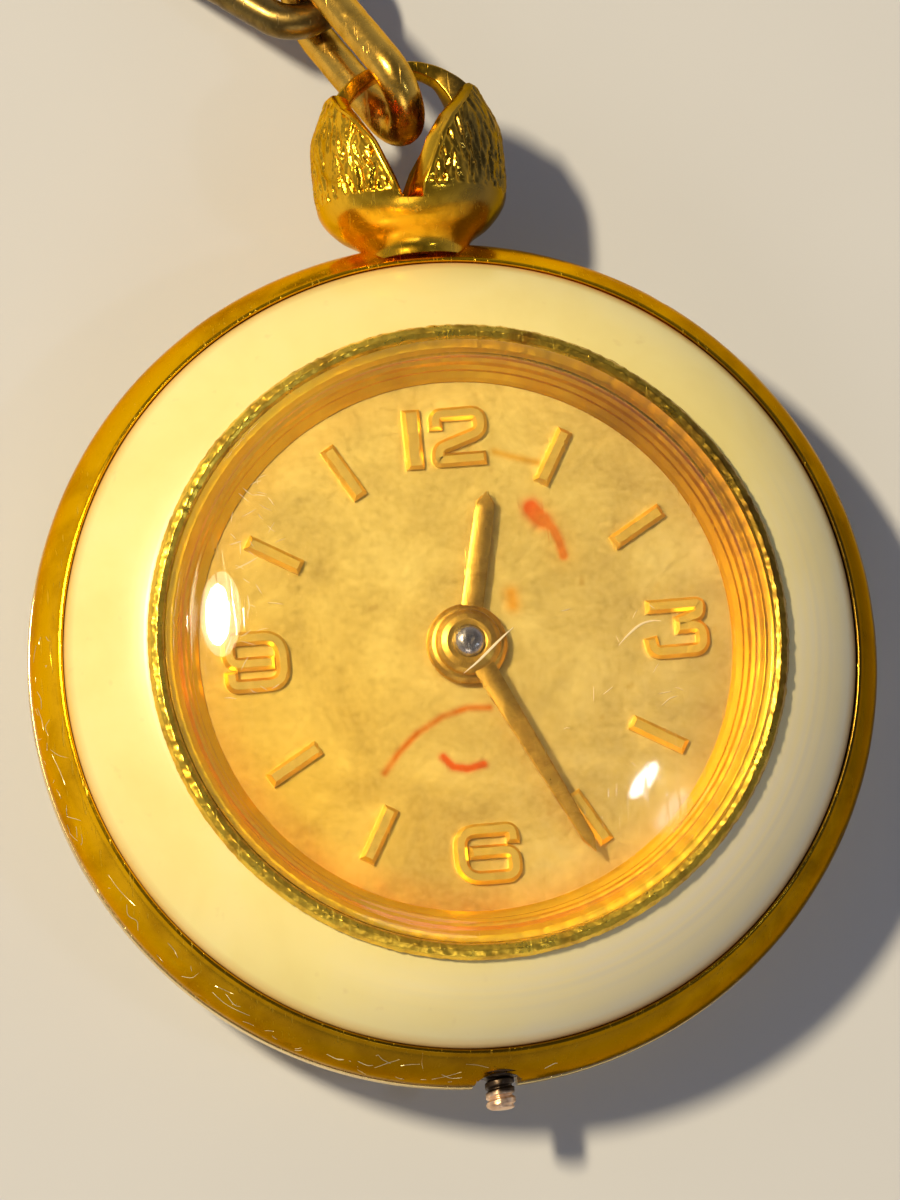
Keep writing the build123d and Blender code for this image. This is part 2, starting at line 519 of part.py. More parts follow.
# ================================================================ barrel and winding
drum = turned((3.05, 3.60), (3.20, 3.60), (3.20, 4.60), (0.62, 4.60), (0.62, 4.44), (3.05, 4.44))
drum = drum + wheel(tooth_pts(78, MOD_BARREL), 4.34, 4.60, 3.12, (0, 0))
save("barrel_drum", Pos(B[0], B[1], 0) * drum)
save("barrel_cover", rod(3.03, 3.61, 3.71, B) - rod(0.55, 3.5, 3.8, B))
save("mainspring", spiral(0.98, 2.95, 8, 0.11, 3.78, 4.38, B))
arb = rod(0.85, 3.75, 4.4, B) + rod(0.50, 3.05, 3.78, B) + rod(0.42, 2.74, 3.1, B) + rod(0.32, 4.38, 5.1, B)
arb += Pos(B[0], B[1], 2.58) * Box(0.62, 0.62, 0.36)
arb -= rod(0.18, 2.3, 3.3, B)
save("barrel_arbor", arb)
rw = extrude(Polygon(*tooth_pts(50, MOD_WIND, turn=0.02, tip=0.8), align=None) - Rectangle(0.62, 0.62), amount=0.3, dir=(0, 0, 1))
save("ratchet_wheel", Pos(B[0], B[1], 2.41) * rw)
save("ratchet_screw", screw(B, 0.18, 0.75, 2.18, 2.39, 3.2, 0.16, 20))
cw_turn = math.atan2(B[1] - K[1], B[0] - K[0]) + math.pi / 36
save("crown_wheel", wheel(tooth_pts(36, MOD_WIND, turn=cw_turn, tip=0.8), 2.41, 2.71, 0.78, K))
core = rod(0.70, 2.38, 2.73, K) + rod(1.05, 2.24, 2.39, K) + rod(0.34, 2.7, 3.0, K)
core -= Pos(K[0], K[1], 2.24) * Rot(0, 0, 70) * Box(2.4, 0.18, 0.2)
save("crown_wheel_core", core)

click = prism([(-7.05, -2.5), (-6.5, -2.6), (-6.22, -1.55), (-6.16, -1.02), (-6.6, -1.15), (-6.95, -1.8)], 2.42, 2.62)
click = click - rod(0.17, 2.3, 2.7, (-6.75, -2.2))
save("click", click)
click_post = rod(0.15, 2.34, 3.0, (-6.75, -2.2)) + rod(0.3, 2.28, 2.4, (-6.75, -2.2))
save("click_spring", bar((-7.3, -0.1), (-6.98, -1.6), 0.07, 2.44, 2.6) + rod(0.28, 2.44, 2.64, (-7.1, -0.15)))

# ================================================================ going train
ca = rod(0.22, 2.76, 7.3) + rod(0.15, 2.45, 2.8) + wheel(tooth_pts(10, MOD_BARREL), 4.28, 4.66, 0.1)
ca += rod(0.34, 3.2, 3.6)
ca = ca + rod(0.11, 4.2, 4.7)
save("centre_arbor", ca)
save("centre_wheel", wheel(tooth_pts(80, MOD_CENTRE), 3.30, 3.45, 0.36, C, 4, 0.75, 2.12, 0.3))


def pinion(xy, n, m, z0, z1, a0, a1, body=0.14, pivot=0.08, turn=0.0):
    p = wheel(tooth_pts(n, m, turn), z0, z1, body * 0.7, xy) + rod(body, a0 + 0.25, a1 - 0.25, xy)
    return p + rod(pivot, a0, a1, xy)


save("third_wheel", wheel(tooth_pts(75, MOD_THIRD), 3.70, 3.84, 0.15, T, 4, 0.45, 1.78, 0.24), pinion(T, 10, MOD_CENTRE, 3.22, 3.62, 2.5, 4.24, turn=math.pi / 10))
save("fourth_wheel", wheel(tooth_pts(80, MOD_FOURTH), 4.06, 4.19, 0.15, F, 4, 0.45, 1.75, 0.24), pinion(F, 10, MOD_THIRD, 3.62, 3.95, 2.5, 4.56, turn=math.pi / 10))
esc = []
for i in range(15):
    a = 2 * math.pi * i / 15
    for f, r in ((0.0, 1.08), (0.26, ESCAPE_R - 0.03), (0.36, ESCAPE_R), (0.30, 1.08)):
        esc.append((r * math.cos(a + f * 2 * math.pi / 15), r * math.sin(a + f * 2 * math.pi / 15)))
save("escape_wheel", wheel(esc, 3.78, 3.92, 0.13, E, 4, 0.34, 0.9, 0.18), pinion(E, 8, MOD_FOURTH, 4.02, 4.34, 2.5, 4.69, body=0.12, turn=math.pi / 8))

# lever escapement
ux, uy = dv[0] / dl, dv[1] / dl


def at_p(a, b):
    """A point a towards the balance and b across, from the pallet fork's pivot."""
    return (P[0] + a * ux + b * pv[0], P[1] + a * uy + b * pv[1])


fork_pts = [at_p(*q) for q in (
    (2.45, 0.10), (2.62, 0.22), (2.55, 0.30), (2.2, 0.12), (0.6, 0.11), (0.25, 0.42), (-0.15, 1.0), (-0.62, 1.05), (-0.66, 0.86), (-0.3, 0.78),
    (-0.1, 0.3), (-0.26, 0.0), (-0.1, -0.3), (-0.3, -0.78), (-0.66, -0.86), (-0.62, -1.05), (-0.15, -1.0), (0.25, -0.42), (0.6, -0.11), (2.2, -0.12),
    (2.55, -0.30), (2.62, -0.22), (2.45, -0.10), (2.3, -0.09), (2.3, 0.09),
)]
fork = prism(fork_pts, 3.78, 3.92)
fork += rod(0.1, 3.74, 4.2, P) + rod(0.07, 3.52, 3.8, P)
save("pallet_fork", fork)

bal = Polygon(*circle_pts(BALANCE_R, 72), align=None) - Polygon(*circle_pts(BALANCE_R - 0.28, 72), align=None)
bal = extrude(bal, amount=0.30, dir=(0, 0, 1))
balance = Pos(A[0], A[1], 3.12) * bal
balance += bar((A[0] - 2.45, A[1]), (A[0] + 2.45, A[1]), 0.3, 3.2, 3.32)
balance += prism(circle_pts(0.42, 24, A), 3.18, 3.34)
for i in range(16):
    a = 2 * math.pi * (i + 0.5) / 16
    s = Pos(A[0], A[1], 3.27) * Rot(0, 0, math.degrees(a)) * Pos(BALANCE_R + 0.02, 0, 0) * Box(0.2, 0.2, 0.2)
    balance += s
balance -= prism(circle_pts(0.16, 16, A), 3.0, 3.5)
save("balance_wheel", balance)
staff = rod(0.15, 2.85, 3.75, A) + rod(0.08, 2.5, 4.34, A) + rod(0.26, 2.92, 3.05, A)
staff += rod(0.48, 3.5, 3.6, A)
staff += rod(0.05, 3.58, 3.9, (A[0] - 0.40 * ux, A[1] - 0.40 * uy))
staff += rod(0.22, 3.36, 3.52, A)
save("balance_staff", staff)
save("hairspring", spiral(0.31, 1.32, 7, 0.035, 2.94, 3.04, A, per=26, start=0.4))
ST = (A[0] + 1.35 * math.cos(0.4 + 14 * math.pi), A[1] + 1.35 * math.sin(0.4 + 14 * math.pi))
reg = rod(0.78, 2.2, 2.34, A) - rod(0.50, 2.1, 2.4, A)
reg += bar((A[0] - 0.7, A[1] - 0.05), (-3.6, 5.1), 0.24, 2.2, 2.34)
save("regulator", reg)
save("balance_cock", cock, rod(0.115, 2.5, 2.93, (-1.15, 5.2)))

# ================================================================ keyless works
stem = rod_y(STEM_R, STEM_TIP_Y, STEM_THREAD_END) + rod_y(STEM_BODY_R, STEM_THREAD_END, -11.35) + rod_y(0.42, -11.4, -7.65) + rod_y(0.40, -7.7, -6.6)
stem -= rod_y(0.8, -8.12, -7.80) - rod_y(0.27, -8.2, -7.7)
stem += Pos(0, (-6.65 - 4.35) / 2, STEM_Z) * Box(0.5, 2.3, 0.5) + rod_y(0.22, -4.4, -3.75)
stem = stem - (rod_y(0.7, -14.2, STEM_TIP_Y + 0.1) - Pos(0, STEM_TIP_Y + 0.05, STEM_Z) * Rot(90, 0, 0) * Cone(STEM_R, STEM_R - 0.1, 0.1))
save("winding_stem", max(stem.solids(), key=lambda s: s.volume))


def along_y(shape, y0):
    """Stand a piece made along +Z on the stem's axis, its foot at y0."""
    return Pos(0, y0, STEM_Z) * Rot(-90, 0, 0) * shape


wp = along_y(wheel(tooth_pts(20, 0.124, turn=math.pi / 2), 0, 0.82, 0.44), -7.5)
save("winding_pinion", wp)
cl = wheel(tooth_pts(14, 0.112), 0, 0.55, 0.38) + wheel(circle_pts(0.6, 24), 0.5, 1.15, 0.38) + wheel(tooth_pts(14, 0.112), 1.1, 1.7, 0.38)
save("clutch_wheel", along_y(cl, -6.62))

lever = prism([(2.6, -7.5), (2.35, -8.1), (0.25, -8.16), (0.25, -7.82), (1.9, -7.45)], 4.95, 5.15) + rod(0.11, 3.85, 5.0, (0.4, -7.96))
lever -= rod(0.22, 4.8, 5.3, LEVER)
save("setting_lever", lever)
lever_screw = rod(0.19, 4.35, 5.2, LEVER) + rod(0.36, 5.18, 5.32, LEVER)
yk = prism([(-3.0, -5.9), (-2.4, -5.95), (-0.62, -5.95), (-0.62, -5.75), (-2.35, -5.2), (-3.0, -5.1)], 4.95, 5.12)
yk += block(-0.80, -0.62, -5.95, -5.78, 4.35, 5.0)
yk -= rod(0.19, 4.8, 5.2, YOKE)
save("yoke", yk)
ys = bar((-3.2, -6.7), (-1.7, -6.2), 0.1, 4.96, 5.1) + bar((-1.74, -6.24), (-1.66, -5.99), 0.1, 4.96, 5.1) + rod(0.35, 4.96, 5.2, COVER_SCREW)
ys -= rod(0.22, 4.8, 5.3, COVER_SCREW)
save("yoke_spring", ys)
cov = prism([(-3.6, -7.0), (-3.6, -5.1), (-2.2, -4.95), (1.9, -5.2), (2.6, -6.3), (2.75, -7.3), (1.75, -7.35), (1.6, -6.6), (-1.4, -6.5), (-2.6, -7.15)], 5.4, 5.58)
cov -= rod(0.22, 5.3, 5.7, COVER_SCREW)
cov += rod(0.35, 5.21, 5.42, COVER_SCREW) - rod(0.22, 5.1, 5.7, COVER_SCREW)
save("keyless_cover", cov)
save("keyless_screws", rod(0.19, 4.3, 5.7, COVER_SCREW) + rod(0.40, 5.59, 5.74, COVER_SCREW), rod(0.16, 4.45, 5.16, YOKE) + rod(0.30, 5.14, 5.28, YOKE), lever_screw)
save("setting_wheel", wheel(tooth_pts(27, MOD_MOTION_A), 4.74, 5.5, 0.19, S))
save("wheel_posts", minute_post, click_post, rod(0.15, 4.25, 5.6, S))
print("balance staff at", A, "stud", ST, "files", len(os.listdir("parts")))
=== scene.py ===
import math

import bmesh
import bpy
import numpy as np
from mathutils import Matrix, Vector, noise


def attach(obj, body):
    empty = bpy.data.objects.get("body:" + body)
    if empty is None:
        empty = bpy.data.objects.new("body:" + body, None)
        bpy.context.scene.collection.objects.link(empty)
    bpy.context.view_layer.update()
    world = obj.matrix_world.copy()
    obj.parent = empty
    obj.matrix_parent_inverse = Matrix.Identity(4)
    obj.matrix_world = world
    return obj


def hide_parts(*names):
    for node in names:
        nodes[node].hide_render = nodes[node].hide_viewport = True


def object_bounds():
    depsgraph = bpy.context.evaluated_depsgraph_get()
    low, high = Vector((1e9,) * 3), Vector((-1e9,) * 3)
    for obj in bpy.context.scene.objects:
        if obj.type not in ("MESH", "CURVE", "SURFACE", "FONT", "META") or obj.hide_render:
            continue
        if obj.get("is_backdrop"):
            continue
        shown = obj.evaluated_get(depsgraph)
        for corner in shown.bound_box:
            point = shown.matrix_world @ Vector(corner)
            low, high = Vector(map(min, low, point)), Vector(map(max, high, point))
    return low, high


MM = 0.001
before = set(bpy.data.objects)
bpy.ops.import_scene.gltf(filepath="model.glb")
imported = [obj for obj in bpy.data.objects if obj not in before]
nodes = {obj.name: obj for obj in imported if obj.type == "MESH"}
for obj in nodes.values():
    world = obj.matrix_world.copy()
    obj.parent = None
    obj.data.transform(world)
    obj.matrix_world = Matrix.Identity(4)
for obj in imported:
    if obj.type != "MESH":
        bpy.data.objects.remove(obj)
cad_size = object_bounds()
rng = np.random.default_rng(7)


# ------------------------------------------------------------------ mesh helpers
def mesh_object(name, verts, faces, mat, body, replaces=(), sharp=38.0, weld=0.0008):
    """A smooth-shaded object from vertices in millimetres."""
    bm = bmesh.new()
    vs = [bm.verts.new((float(x) * MM, float(y) * MM, float(z) * MM)) for x, y, z in verts]
    for f in faces:
        if len(set(f)) == len(f):
            try:
                bm.faces.new([vs[i] for i in f])
            except ValueError:
                pass
    bmesh.ops.remove_doubles(bm, verts=bm.verts, dist=weld * MM)
    bmesh.ops.dissolve_degenerate(bm, edges=bm.edges, dist=1e-8)
    loose = [v for v in bm.verts if not v.link_faces]
    if loose:
        bmesh.ops.delete(bm, geom=loose, context="VERTS")
    bmesh.ops.recalc_face_normals(bm, faces=bm.faces)
    me = bpy.data.meshes.new(name)
    bm.to_mesh(me)
    bm.free()
    return finish_object(name, me, mat, body, replaces, sharp)


def finish_object(name, me, mat, body, replaces=(), sharp=38.0):
    me.polygons.foreach_set("use_smooth", [True] * len(me.polygons))
    me.set_sharp_from_angle(angle=math.radians(sharp))
    me.materials.clear()
    me.materials.append(mat)
    ob = bpy.data.objects.new(name, me)
    bpy.context.scene.collection.objects.link(ob)
    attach(ob, body)
    if replaces:
        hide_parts(*replaces)
    return ob


def arc3(a, m, b, n):
    """n points of the circle through a, m and b, from a to b, both ends included."""
    ax, ay = a
    bx, by = m
    cx, cy = b
    d = 2 * (ax * (by - cy) + bx * (cy - ay) + cx * (ay - by))
    ux = ((ax * ax + ay * ay) * (by - cy) + (bx * bx + by * by) * (cy - ay) + (cx * cx + cy * cy) * (ay - by)) / d
    uy = ((ax * ax + ay * ay) * (cx - bx) + (bx * bx + by * by) * (ax - cx) + (cx * cx + cy * cy) * (bx - ax)) / d
    r = math.hypot(ax - ux, ay - uy)
    t0 = math.atan2(ay - uy, ax - ux)
    tm = math.atan2(by - uy, bx - ux)
    t1 = math.atan2(cy - uy, cx - ux)

    def wrap(t):
        return (t - t0) % (2 * math.pi)

    span = wrap(t1)
    if wrap(tm) > span:
        span -= 2 * math.pi
    return [(ux + r * math.cos(t0 + span * i / (n - 1)), uy + r * math.sin(t0 + span * i / (n - 1))) for i in range(n)]


def rounded(pts, steps=5, closed=True, support=0.03):
    """Round the corners of a section. Each point is (x, y) or (x, y, radius)."""
    out = []
    n = len(pts)
    for i in range(n):
        p = pts[i]
        if len(p) < 3 or p[2] <= 0 or (not closed and i in (0, n - 1)):
            out.append((p[0], p[1]))
            continue
        c = np.array(p[:2], float)
        a = np.array(pts[i - 1][:2], float) - c
        b = np.array(pts[(i + 1) % n][:2], float) - c
        la, lb = np.linalg.norm(a), np.linalg.norm(b)
        a /= la
        b /= lb
        ang = math.acos(max(-1.0, min(1.0, float(a @ b))))
        if ang > math.pi - 0.02:
            out.append((p[0], p[1]))
            continue
        d = min(p[2] / math.tan(ang / 2), la * 0.42, lb * 0.42)
        s, e = c + a * d, c + b * d
        if la * 0.5 > d + support:
            out.append(tuple(s + a * support))
        for k in range(steps + 1):
            t = k / steps
            q = (1 - t) ** 2 * s + 2 * t * (1 - t) * c + t * t * e
            out.append(tuple(q))
        if lb * 0.5 > d + support:
            out.append(tuple(e + b * support))
    return out


def lathe(section, segs, move=None):
    """Vertices and faces of a closed section turned about Z. move(r, z, angle) may shift a point."""
    n = len(section)
    verts = []
    for j in range(segs):
        t = 2 * math.pi * j / segs
        c, s = math.cos(t), math.sin(t)
        for r, z in section:
            if move and r > 1e-6:
                r, z = move(r, z, t)
            verts.append((r * c, r * s, z))
    faces = []
    for j in range(segs):
        k = (j + 1) % segs
        for i in range(n):
            m = (i + 1) % n
            if section[i][0] < 1e-6 and section[m][0] < 1e-6:
                continue
            faces.append((j * n + i, k * n + i, k * n + m, j * n + m))
    out = []
    for f in faces:
        out.append(f)
    return verts, out


def catmull(pts, n):
    """A smooth curve through points, n samples evenly spaced in length."""
    p = np.array(pts, float)
    ext = np.vstack([2 * p[0] - p[1], p, 2 * p[-1] - p[-2]])
    fine = []
    for i in range(1, len(ext) - 2):
        for t in np.linspace(0, 1, 40, endpoint=False):
            a, b, c, d = ext[i - 1], ext[i], ext[i + 1], ext[i + 2]
            fine.append(0.5 * ((2 * b) + (c - a) * t + (2 * a - 5 * b + 4 * c - d) * t * t + (3 * b - a - 3 * c + d) * t ** 3))
    fine.append(ext[-2])
    fine = np.array(fine)
    d = np.concatenate([[0], np.cumsum(np.linalg.norm(np.diff(fine, axis=0), axis=1))])
    s = np.linspace(0, d[-1], n)
    return np.stack([np.interp(s, d, fine[:, k]) for k in range(fine.shape[1])], axis=1)


def n3(x, y, z, scale=1.0, seed=0.0):
    return noise.noise(Vector((x * scale + seed, y * scale - seed * 0.7, z * scale + seed * 1.3)))


def carve(name, verts, faces, cutters, mat, body, replaces=(), sharp=32.0):
    """A mesh with other meshes cut out of it."""
    def raw(nm, v, f):
        bm = bmesh.new()
        vs = [bm.verts.new((a * MM, b * MM, c * MM)) for a, b, c in v]
        for q in f:
            try:
                bm.faces.new([vs[i] for i in q])
            except ValueError:
                pass
        bmesh.ops.remove_doubles(bm, verts=bm.verts, dist=1e-7)
        bmesh.ops.recalc_face_normals(bm, faces=bm.faces)
        me = bpy.data.meshes.new(nm)
        bm.to_mesh(me)
        bm.free()
        ob = bpy.data.objects.new(nm, me)
        bpy.context.scene.collection.objects.link(ob)
        return ob

    base = raw("tmp_base", verts, faces)
    tools = []
    for i, (v, f) in enumerate(cutters):
        t = raw("tmp_cut%d" % i, v, f)
        m = base.modifiers.new("cut%d" % i, "BOOLEAN")
        m.operation = "DIFFERENCE"
        m.solver = "EXACT"
        m.object = t
        tools.append(t)
    bpy.context.view_layer.update()
    me = bpy.data.meshes.new_from_object(base.evaluated_get(bpy.context.evaluated_depsgraph_get()))
    me.name = name
    for o in [base] + tools:
        old = o.data
        bpy.data.objects.remove(o)
        bpy.data.meshes.remove(old)
    return finish_object(name, me, mat, body, replaces, sharp)


def rod_mesh(r, y0, y1, x=0.0, z=4.0, segs=48):
    """A closed cylinder along Y, for cutting."""
    v, f = [], []
    for j in range(segs):
        t = 2 * math.pi * j / segs
        v.append((x + r * math.cos(t), y0, z + r * math.sin(t)))
        v.append((x + r * math.cos(t), y1, z + r * math.sin(t)))
    for j in range(segs):
        k = (j + 1) % segs
        f.append((2 * j, 2 * k, 2 * k + 1, 2 * j + 1))
    f.append(tuple(2 * j for j in range(segs)))
    f.append(tuple(2 * j + 1 for j in range(segs)))
    return v, f


def box_mesh(x0, x1, y0, y1, z0, z1):
    v = [(x, y, z) for x in (x0, x1) for y in (y0, y1) for z in (z0, z1)]
    f = [(0, 1, 3, 2), (4, 6, 7, 5), (0, 4, 5, 1), (2, 3, 7, 6), (0, 2, 6, 4), (1, 5, 7, 3)]
    return v, f


# ------------------------------------------------------------------ materials
def new_mat(name):
    m = bpy.data.materials.new(name)
    m.use_nodes = True
    nt = m.node_tree
    p = nt.nodes["Principled BSDF"]
    return m, nt, p


def coords(nt, scale=(1, 1, 1), rot=(0, 0, 0)):
    tc = nt.nodes.new("ShaderNodeTexCoord")
    mp = nt.nodes.new("ShaderNodeMapping")
    mp.inputs["Scale"].default_value = scale
    mp.inputs["Rotation"].default_value = rot
    nt.links.new(tc.outputs["Object"], mp.inputs["Vector"])
    return mp.outputs["Vector"]


def noise_node(nt, vec, scale, detail=4.0, rough=0.55, distortion=0.0):
    n = nt.nodes.new("ShaderNodeTexNoise")
    n.inputs["Scale"].default_value = scale
    n.inputs["Detail"].default_value = detail
    n.inputs["Roughness"].default_value = rough
    n.inputs["Distortion"].default_value = distortion
    nt.links.new(vec, n.inputs["Vector"])
    return n.outputs["Fac"]


def ramp(nt, fac, stops):
    r = nt.nodes.new("ShaderNodeValToRGB")
    e = r.color_ramp.elements
    while len(e) < len(stops):
        e.new(0.5)
    for el, (pos, col) in zip(e, stops):
        el.position = pos
        el.color = (*col, 1.0) if len(col) == 3 else col
    nt.links.new(fac, r.inputs["Fac"])
    return r.outputs["Color"]


def mapr(nt, v, a, b, c, d):
    m = nt.nodes.new("ShaderNodeMapRange")
    m.inputs["From Min"].default_value = a
    m.inputs["From Max"].default_value = b
    m.inputs["To Min"].default_value = c
    m.inputs["To Max"].default_value = d
    nt.links.new(v, m.inputs["Value"])
    return m.outputs["Result"]


def math_node(nt, op, a, b=None, clamp=False):
    m = nt.nodes.new("ShaderNodeMath")
    m.operation = op
    m.use_clamp = clamp
    for i, v in enumerate((a, b)):
        if v is None:
            continue
        if isinstance(v, (int, float)):
            m.inputs[i].default_value = v
        else:
            nt.links.new(v, m.inputs[i])
    return m.outputs[0]


def mix_col(nt, fac, a, b, mode="MIX"):
    m = nt.nodes.new("ShaderNodeMix")
    m.data_type = "RGBA"
    m.blend_type = mode
    if isinstance(fac, (int, float)):
        m.inputs["Factor"].default_value = fac
    else:
        nt.links.new(fac, m.inputs["Factor"])
    for key, v in (("A", a), ("B", b)):
        sock = [s for s in m.inputs if s.name == key and s.type == "RGBA"][0]
        if isinstance(v, tuple):
            sock.default_value = (*v, 1.0)
        else:
            nt.links.new(v, sock)
    return [s for s in m.outputs if s.type == "RGBA"][0]


def scratches(nt, amount=1.0, scale=1.0):
    """Fine hairlines in several directions, 0 where clean and 1 in a scratch."""
    total = None
    for k, (rot, thr) in enumerate((((0.1, 0.3, 0.6), 0.66), ((0.9, 0.2, 2.1), 0.68), ((0.4, 1.1, 1.3), 0.69))):
        vec = coords(nt, (1.0, 0.055, 0.35), rot)
        f = noise_node(nt, vec, 9000.0 * scale * (1 + 0.23 * k), 2.0, 0.5)
        s = mapr(nt, f, thr, thr + 0.05, 0.0, amount)
        total = s if total is None else math_node(nt, "MAXIMUM", total, s)
    return math_node(nt, "MINIMUM", total, 1.0)


def bump(nt, p, height, distance, strength=1.0):
    b = nt.nodes.new("ShaderNodeBump")
    b.inputs["Distance"].default_value = distance
    b.inputs["Strength"].default_value = strength
    nt.links.new(height, b.inputs["Height"])
    nt.links.new(b.outputs["Normal"], p.inputs["Normal"])
    return b


def metal(name, col, dark, rough=(0.14, 0.32), patch=700.0, scratch=1.0, bump_d=4e-6, fine=9000.0):
    """Plated metal with worn patches, hairlines and uneven polish."""
    m, nt, p = new_mat(name)
    p.inputs["Metallic"].default_value = 1.0
    vec = coords(nt)
    big = noise_node(nt, vec, patch, 5.0, 0.6, 0.4)
    small = noise_node(nt, vec, fine, 3.0, 0.6)
    c = ramp(nt, big, ((0.28, dark), (0.55, col), (0.8, tuple(min(1.0, v * 1.06) for v in col))))
    sc = scratches(nt, scratch)
    c = mix_col(nt, math_node(nt, "MULTIPLY", sc, 0.45), c, tuple(min(1.0, v * 1.15 + 0.05) for v in col))
    nt.links.new(c, p.inputs["Base Color"])
    r = mapr(nt, big, 0.25, 0.75, rough[1], rough[0])
    r = math_node(nt, "ADD", r, mapr(nt, small, 0.35, 0.7, -0.02, 0.05))
    r = math_node(nt, "ADD", r, math_node(nt, "MULTIPLY", sc, 0.12), True)
    nt.links.new(r, p.inputs["Roughness"])
    h = math_node(nt, "SUBTRACT", math_node(nt, "MULTIPLY", small, 0.5), math_node(nt, "MULTIPLY", sc, 1.2))
    bump(nt, p, h, bump_d, 0.7)
    return m


def side_tarnish_and_shade(mat, ax, ay, lo, hi, amount, dark, uneven=0.0012):
    """One side of the piece is painted darker: partly an older, tarnished tone, partly painted shade for the dark
    surroundings it would reflect.
    """
    nt = mat.node_tree
    p = nt.nodes["Principled BSDF"]
    src = p.inputs["Base Color"].links[0].from_socket
    vec = coords(nt)
    sep = nt.nodes.new("ShaderNodeSeparateXYZ")
    nt.links.new(vec, sep.inputs[0])
    s = math_node(nt, "ADD", math_node(nt, "MULTIPLY", sep.outputs[0], ax), math_node(nt, "MULTIPLY", sep.outputs[1], ay))
    s = math_node(nt, "ADD", s, mapr(nt, noise_node(nt, vec, 380.0, 4.0, 0.6, 0.5), 0.3, 0.7, -uneven, uneven))
    nt.links.new(mix_col(nt, mapr(nt, s, lo, hi, 0.0, amount), src, dark), p.inputs["Base Color"])


GOLD = (0.92, 0.50, 0.008)
GOLD_DARK = (0.52, 0.25, 0.004)
m_case = metal("gilt_case", GOLD, GOLD_DARK, (0.10, 0.26), 420.0, 1.2, 5e-6)
m_case.node_tree.nodes["Principled BSDF"].inputs["Specular Tint"].default_value = (0.9, 0.62, 0.22, 1)
# Painted shade: the band is darkened towards the bottom and towards the right, partly as tarnish.
side_tarnish_and_shade(m_case, 0.05, -1.0, 0.0040, 0.0122, 0.76, (0.14, 0.070, 0.006))
side_tarnish_and_shade(m_case, 1.0, -0.05, 0.0045, 0.0120, 0.90, (0.085, 0.050, 0.010))
m_back = metal("gilt_back", (0.98, 0.74, 0.30), (0.72, 0.52, 0.24), (0.16, 0.30), 300.0, 0.8, 4e-6)
m_bezel = metal("gilt_bezel", (1.0, 0.66, 0.07), (0.40, 0.20, 0.02), (0.22, 0.44), 1300.0, 0.8, 6e-6, 14000.0)
# Painted shade: the bezel is darkened towards the right, partly as tarnish.
side_tarnish_and_shade(m_bezel, 0.82, 0.20, 0.0005, 0.0085, 0.86, (0.075, 0.036, 0.008))
m_bow = metal("gilt_bow", (0.93, 0.52, 0.030), (0.50, 0.26, 0.010), (0.12, 0.28), 900.0, 0.6, 5e-6)
m_bow.node_tree.nodes["Principled BSDF"].inputs["Specular Tint"].default_value = (0.95, 0.70, 0.35, 1)
# Painted shade: the right petal of the bow is darkened, partly as tarnish.
side_tarnish_and_shade(m_bow, 1.0, 0.0, 0.0003, 0.0019, 0.88, (0.13, 0.095, 0.035), 0.00015)
m_chain = metal("gilt_chain", (0.80, 0.47, 0.075), (0.46, 0.26, 0.04), (0.16, 0.34), 1100.0, 0.8, 9e-6)
m_chain.node_tree.nodes["Principled BSDF"].inputs["Specular Tint"].default_value = (0.95, 0.72, 0.36, 1)
# Painted shade: the far link gets a near-black gilt in place of the shadow it lies in.
m_chain_shaded = metal("chain_painted_shade", (0.26, 0.17, 0.045), (0.07, 0.045, 0.015), (0.22, 0.42), 1100.0, 0.8, 9e-6)
m_mark = metal("gilt_marks", (0.98, 0.70, 0.15), (0.80, 0.54, 0.09), (0.29, 0.40), 900.0, 0.1, 1e-6)
m_hand = metal("gilt_hands", (0.64, 0.40, 0.07), (0.34, 0.19, 0.03), (0.27, 0.40), 1500.0, 0.25, 3e-6)
m_rehaut = metal("gilt_rehaut", (1.0, 0.66, 0.04), (0.92, 0.52, 0.02), (0.30, 0.44), 600.0, 0.3, 3e-6)
m_rehaut.node_tree.nodes["Principled BSDF"].inputs["Specular Tint"].default_value = (0.95, 0.70, 0.30, 1)
# Painted shade: the ring under the crystal is darkened to a deep orange towards the upper right.
side_tarnish_and_shade(m_rehaut, 0.85, 0.40, -0.001, 0.0082, 0.86, (0.30, 0.115, 0.004))
m_cap = metal("steel_cap", (0.52, 0.52, 0.55), (0.26, 0.25, 0.27), (0.12, 0.28), 2600.0, 0.5, 3e-6)
m_stem = metal("worn_stem", (0.92, 0.66, 0.46), (0.46, 0.24, 0.12), (0.28, 0.45), 2600.0, 0.5, 9e-6)
# Painted shade: the stem is painted near-black where it goes into the recess in the band.
_nt = m_stem.node_tree
_pr = _nt.nodes["Principled BSDF"]
_src = _pr.inputs["Base Color"].links[0].from_socket
_sp = _nt.nodes.new("ShaderNodeSeparateXYZ")
_nt.links.new(coords(_nt), _sp.inputs[0])
_nt.links.new(mix_col(_nt, mapr(_nt, _sp.outputs[1], -0.01358, -0.01345, 0.0, 0.94), _src, (0.02, 0.014, 0.01)), _pr.inputs["Base Color"])
m_tube = metal("tarnished_tube", (0.10, 0.06, 0.03), (0.04, 0.025, 0.015), (0.35, 0.5), 2600.0, 0.3, 4e-6)
m_steel = metal("steel", (0.62, 0.62, 0.63), (0.45, 0.45, 0.46), (0.12, 0.24), 900.0, 0.4, 2e-6)
m_stemsteel = metal("stem_steel", (0.50, 0.50, 0.52), (0.36, 0.36, 0.38), (0.18, 0.3), 900.0, 0.4, 2e-6)
m_brass = metal("movement_brass", (0.83, 0.64, 0.30), (0.70, 0.50, 0.2), (0.22, 0.36), 500.0, 0.3, 2e-6)
m_blue = metal("blued_spring", (0.05, 0.09, 0.30), (0.03, 0.05, 0.18), (0.16, 0.26), 900.0, 0.2, 1e-6)
m_spring = metal("spring_steel", (0.40, 0.41, 0.44), (0.28, 0.28, 0.3), (0.2, 0.32), 900.0, 0.2, 1e-6)
m_balance = metal("balance_alloy", (0.80, 0.72, 0.52), (0.66, 0.55, 0.34), (0.12, 0.24), 600.0, 0.2, 1e-6)


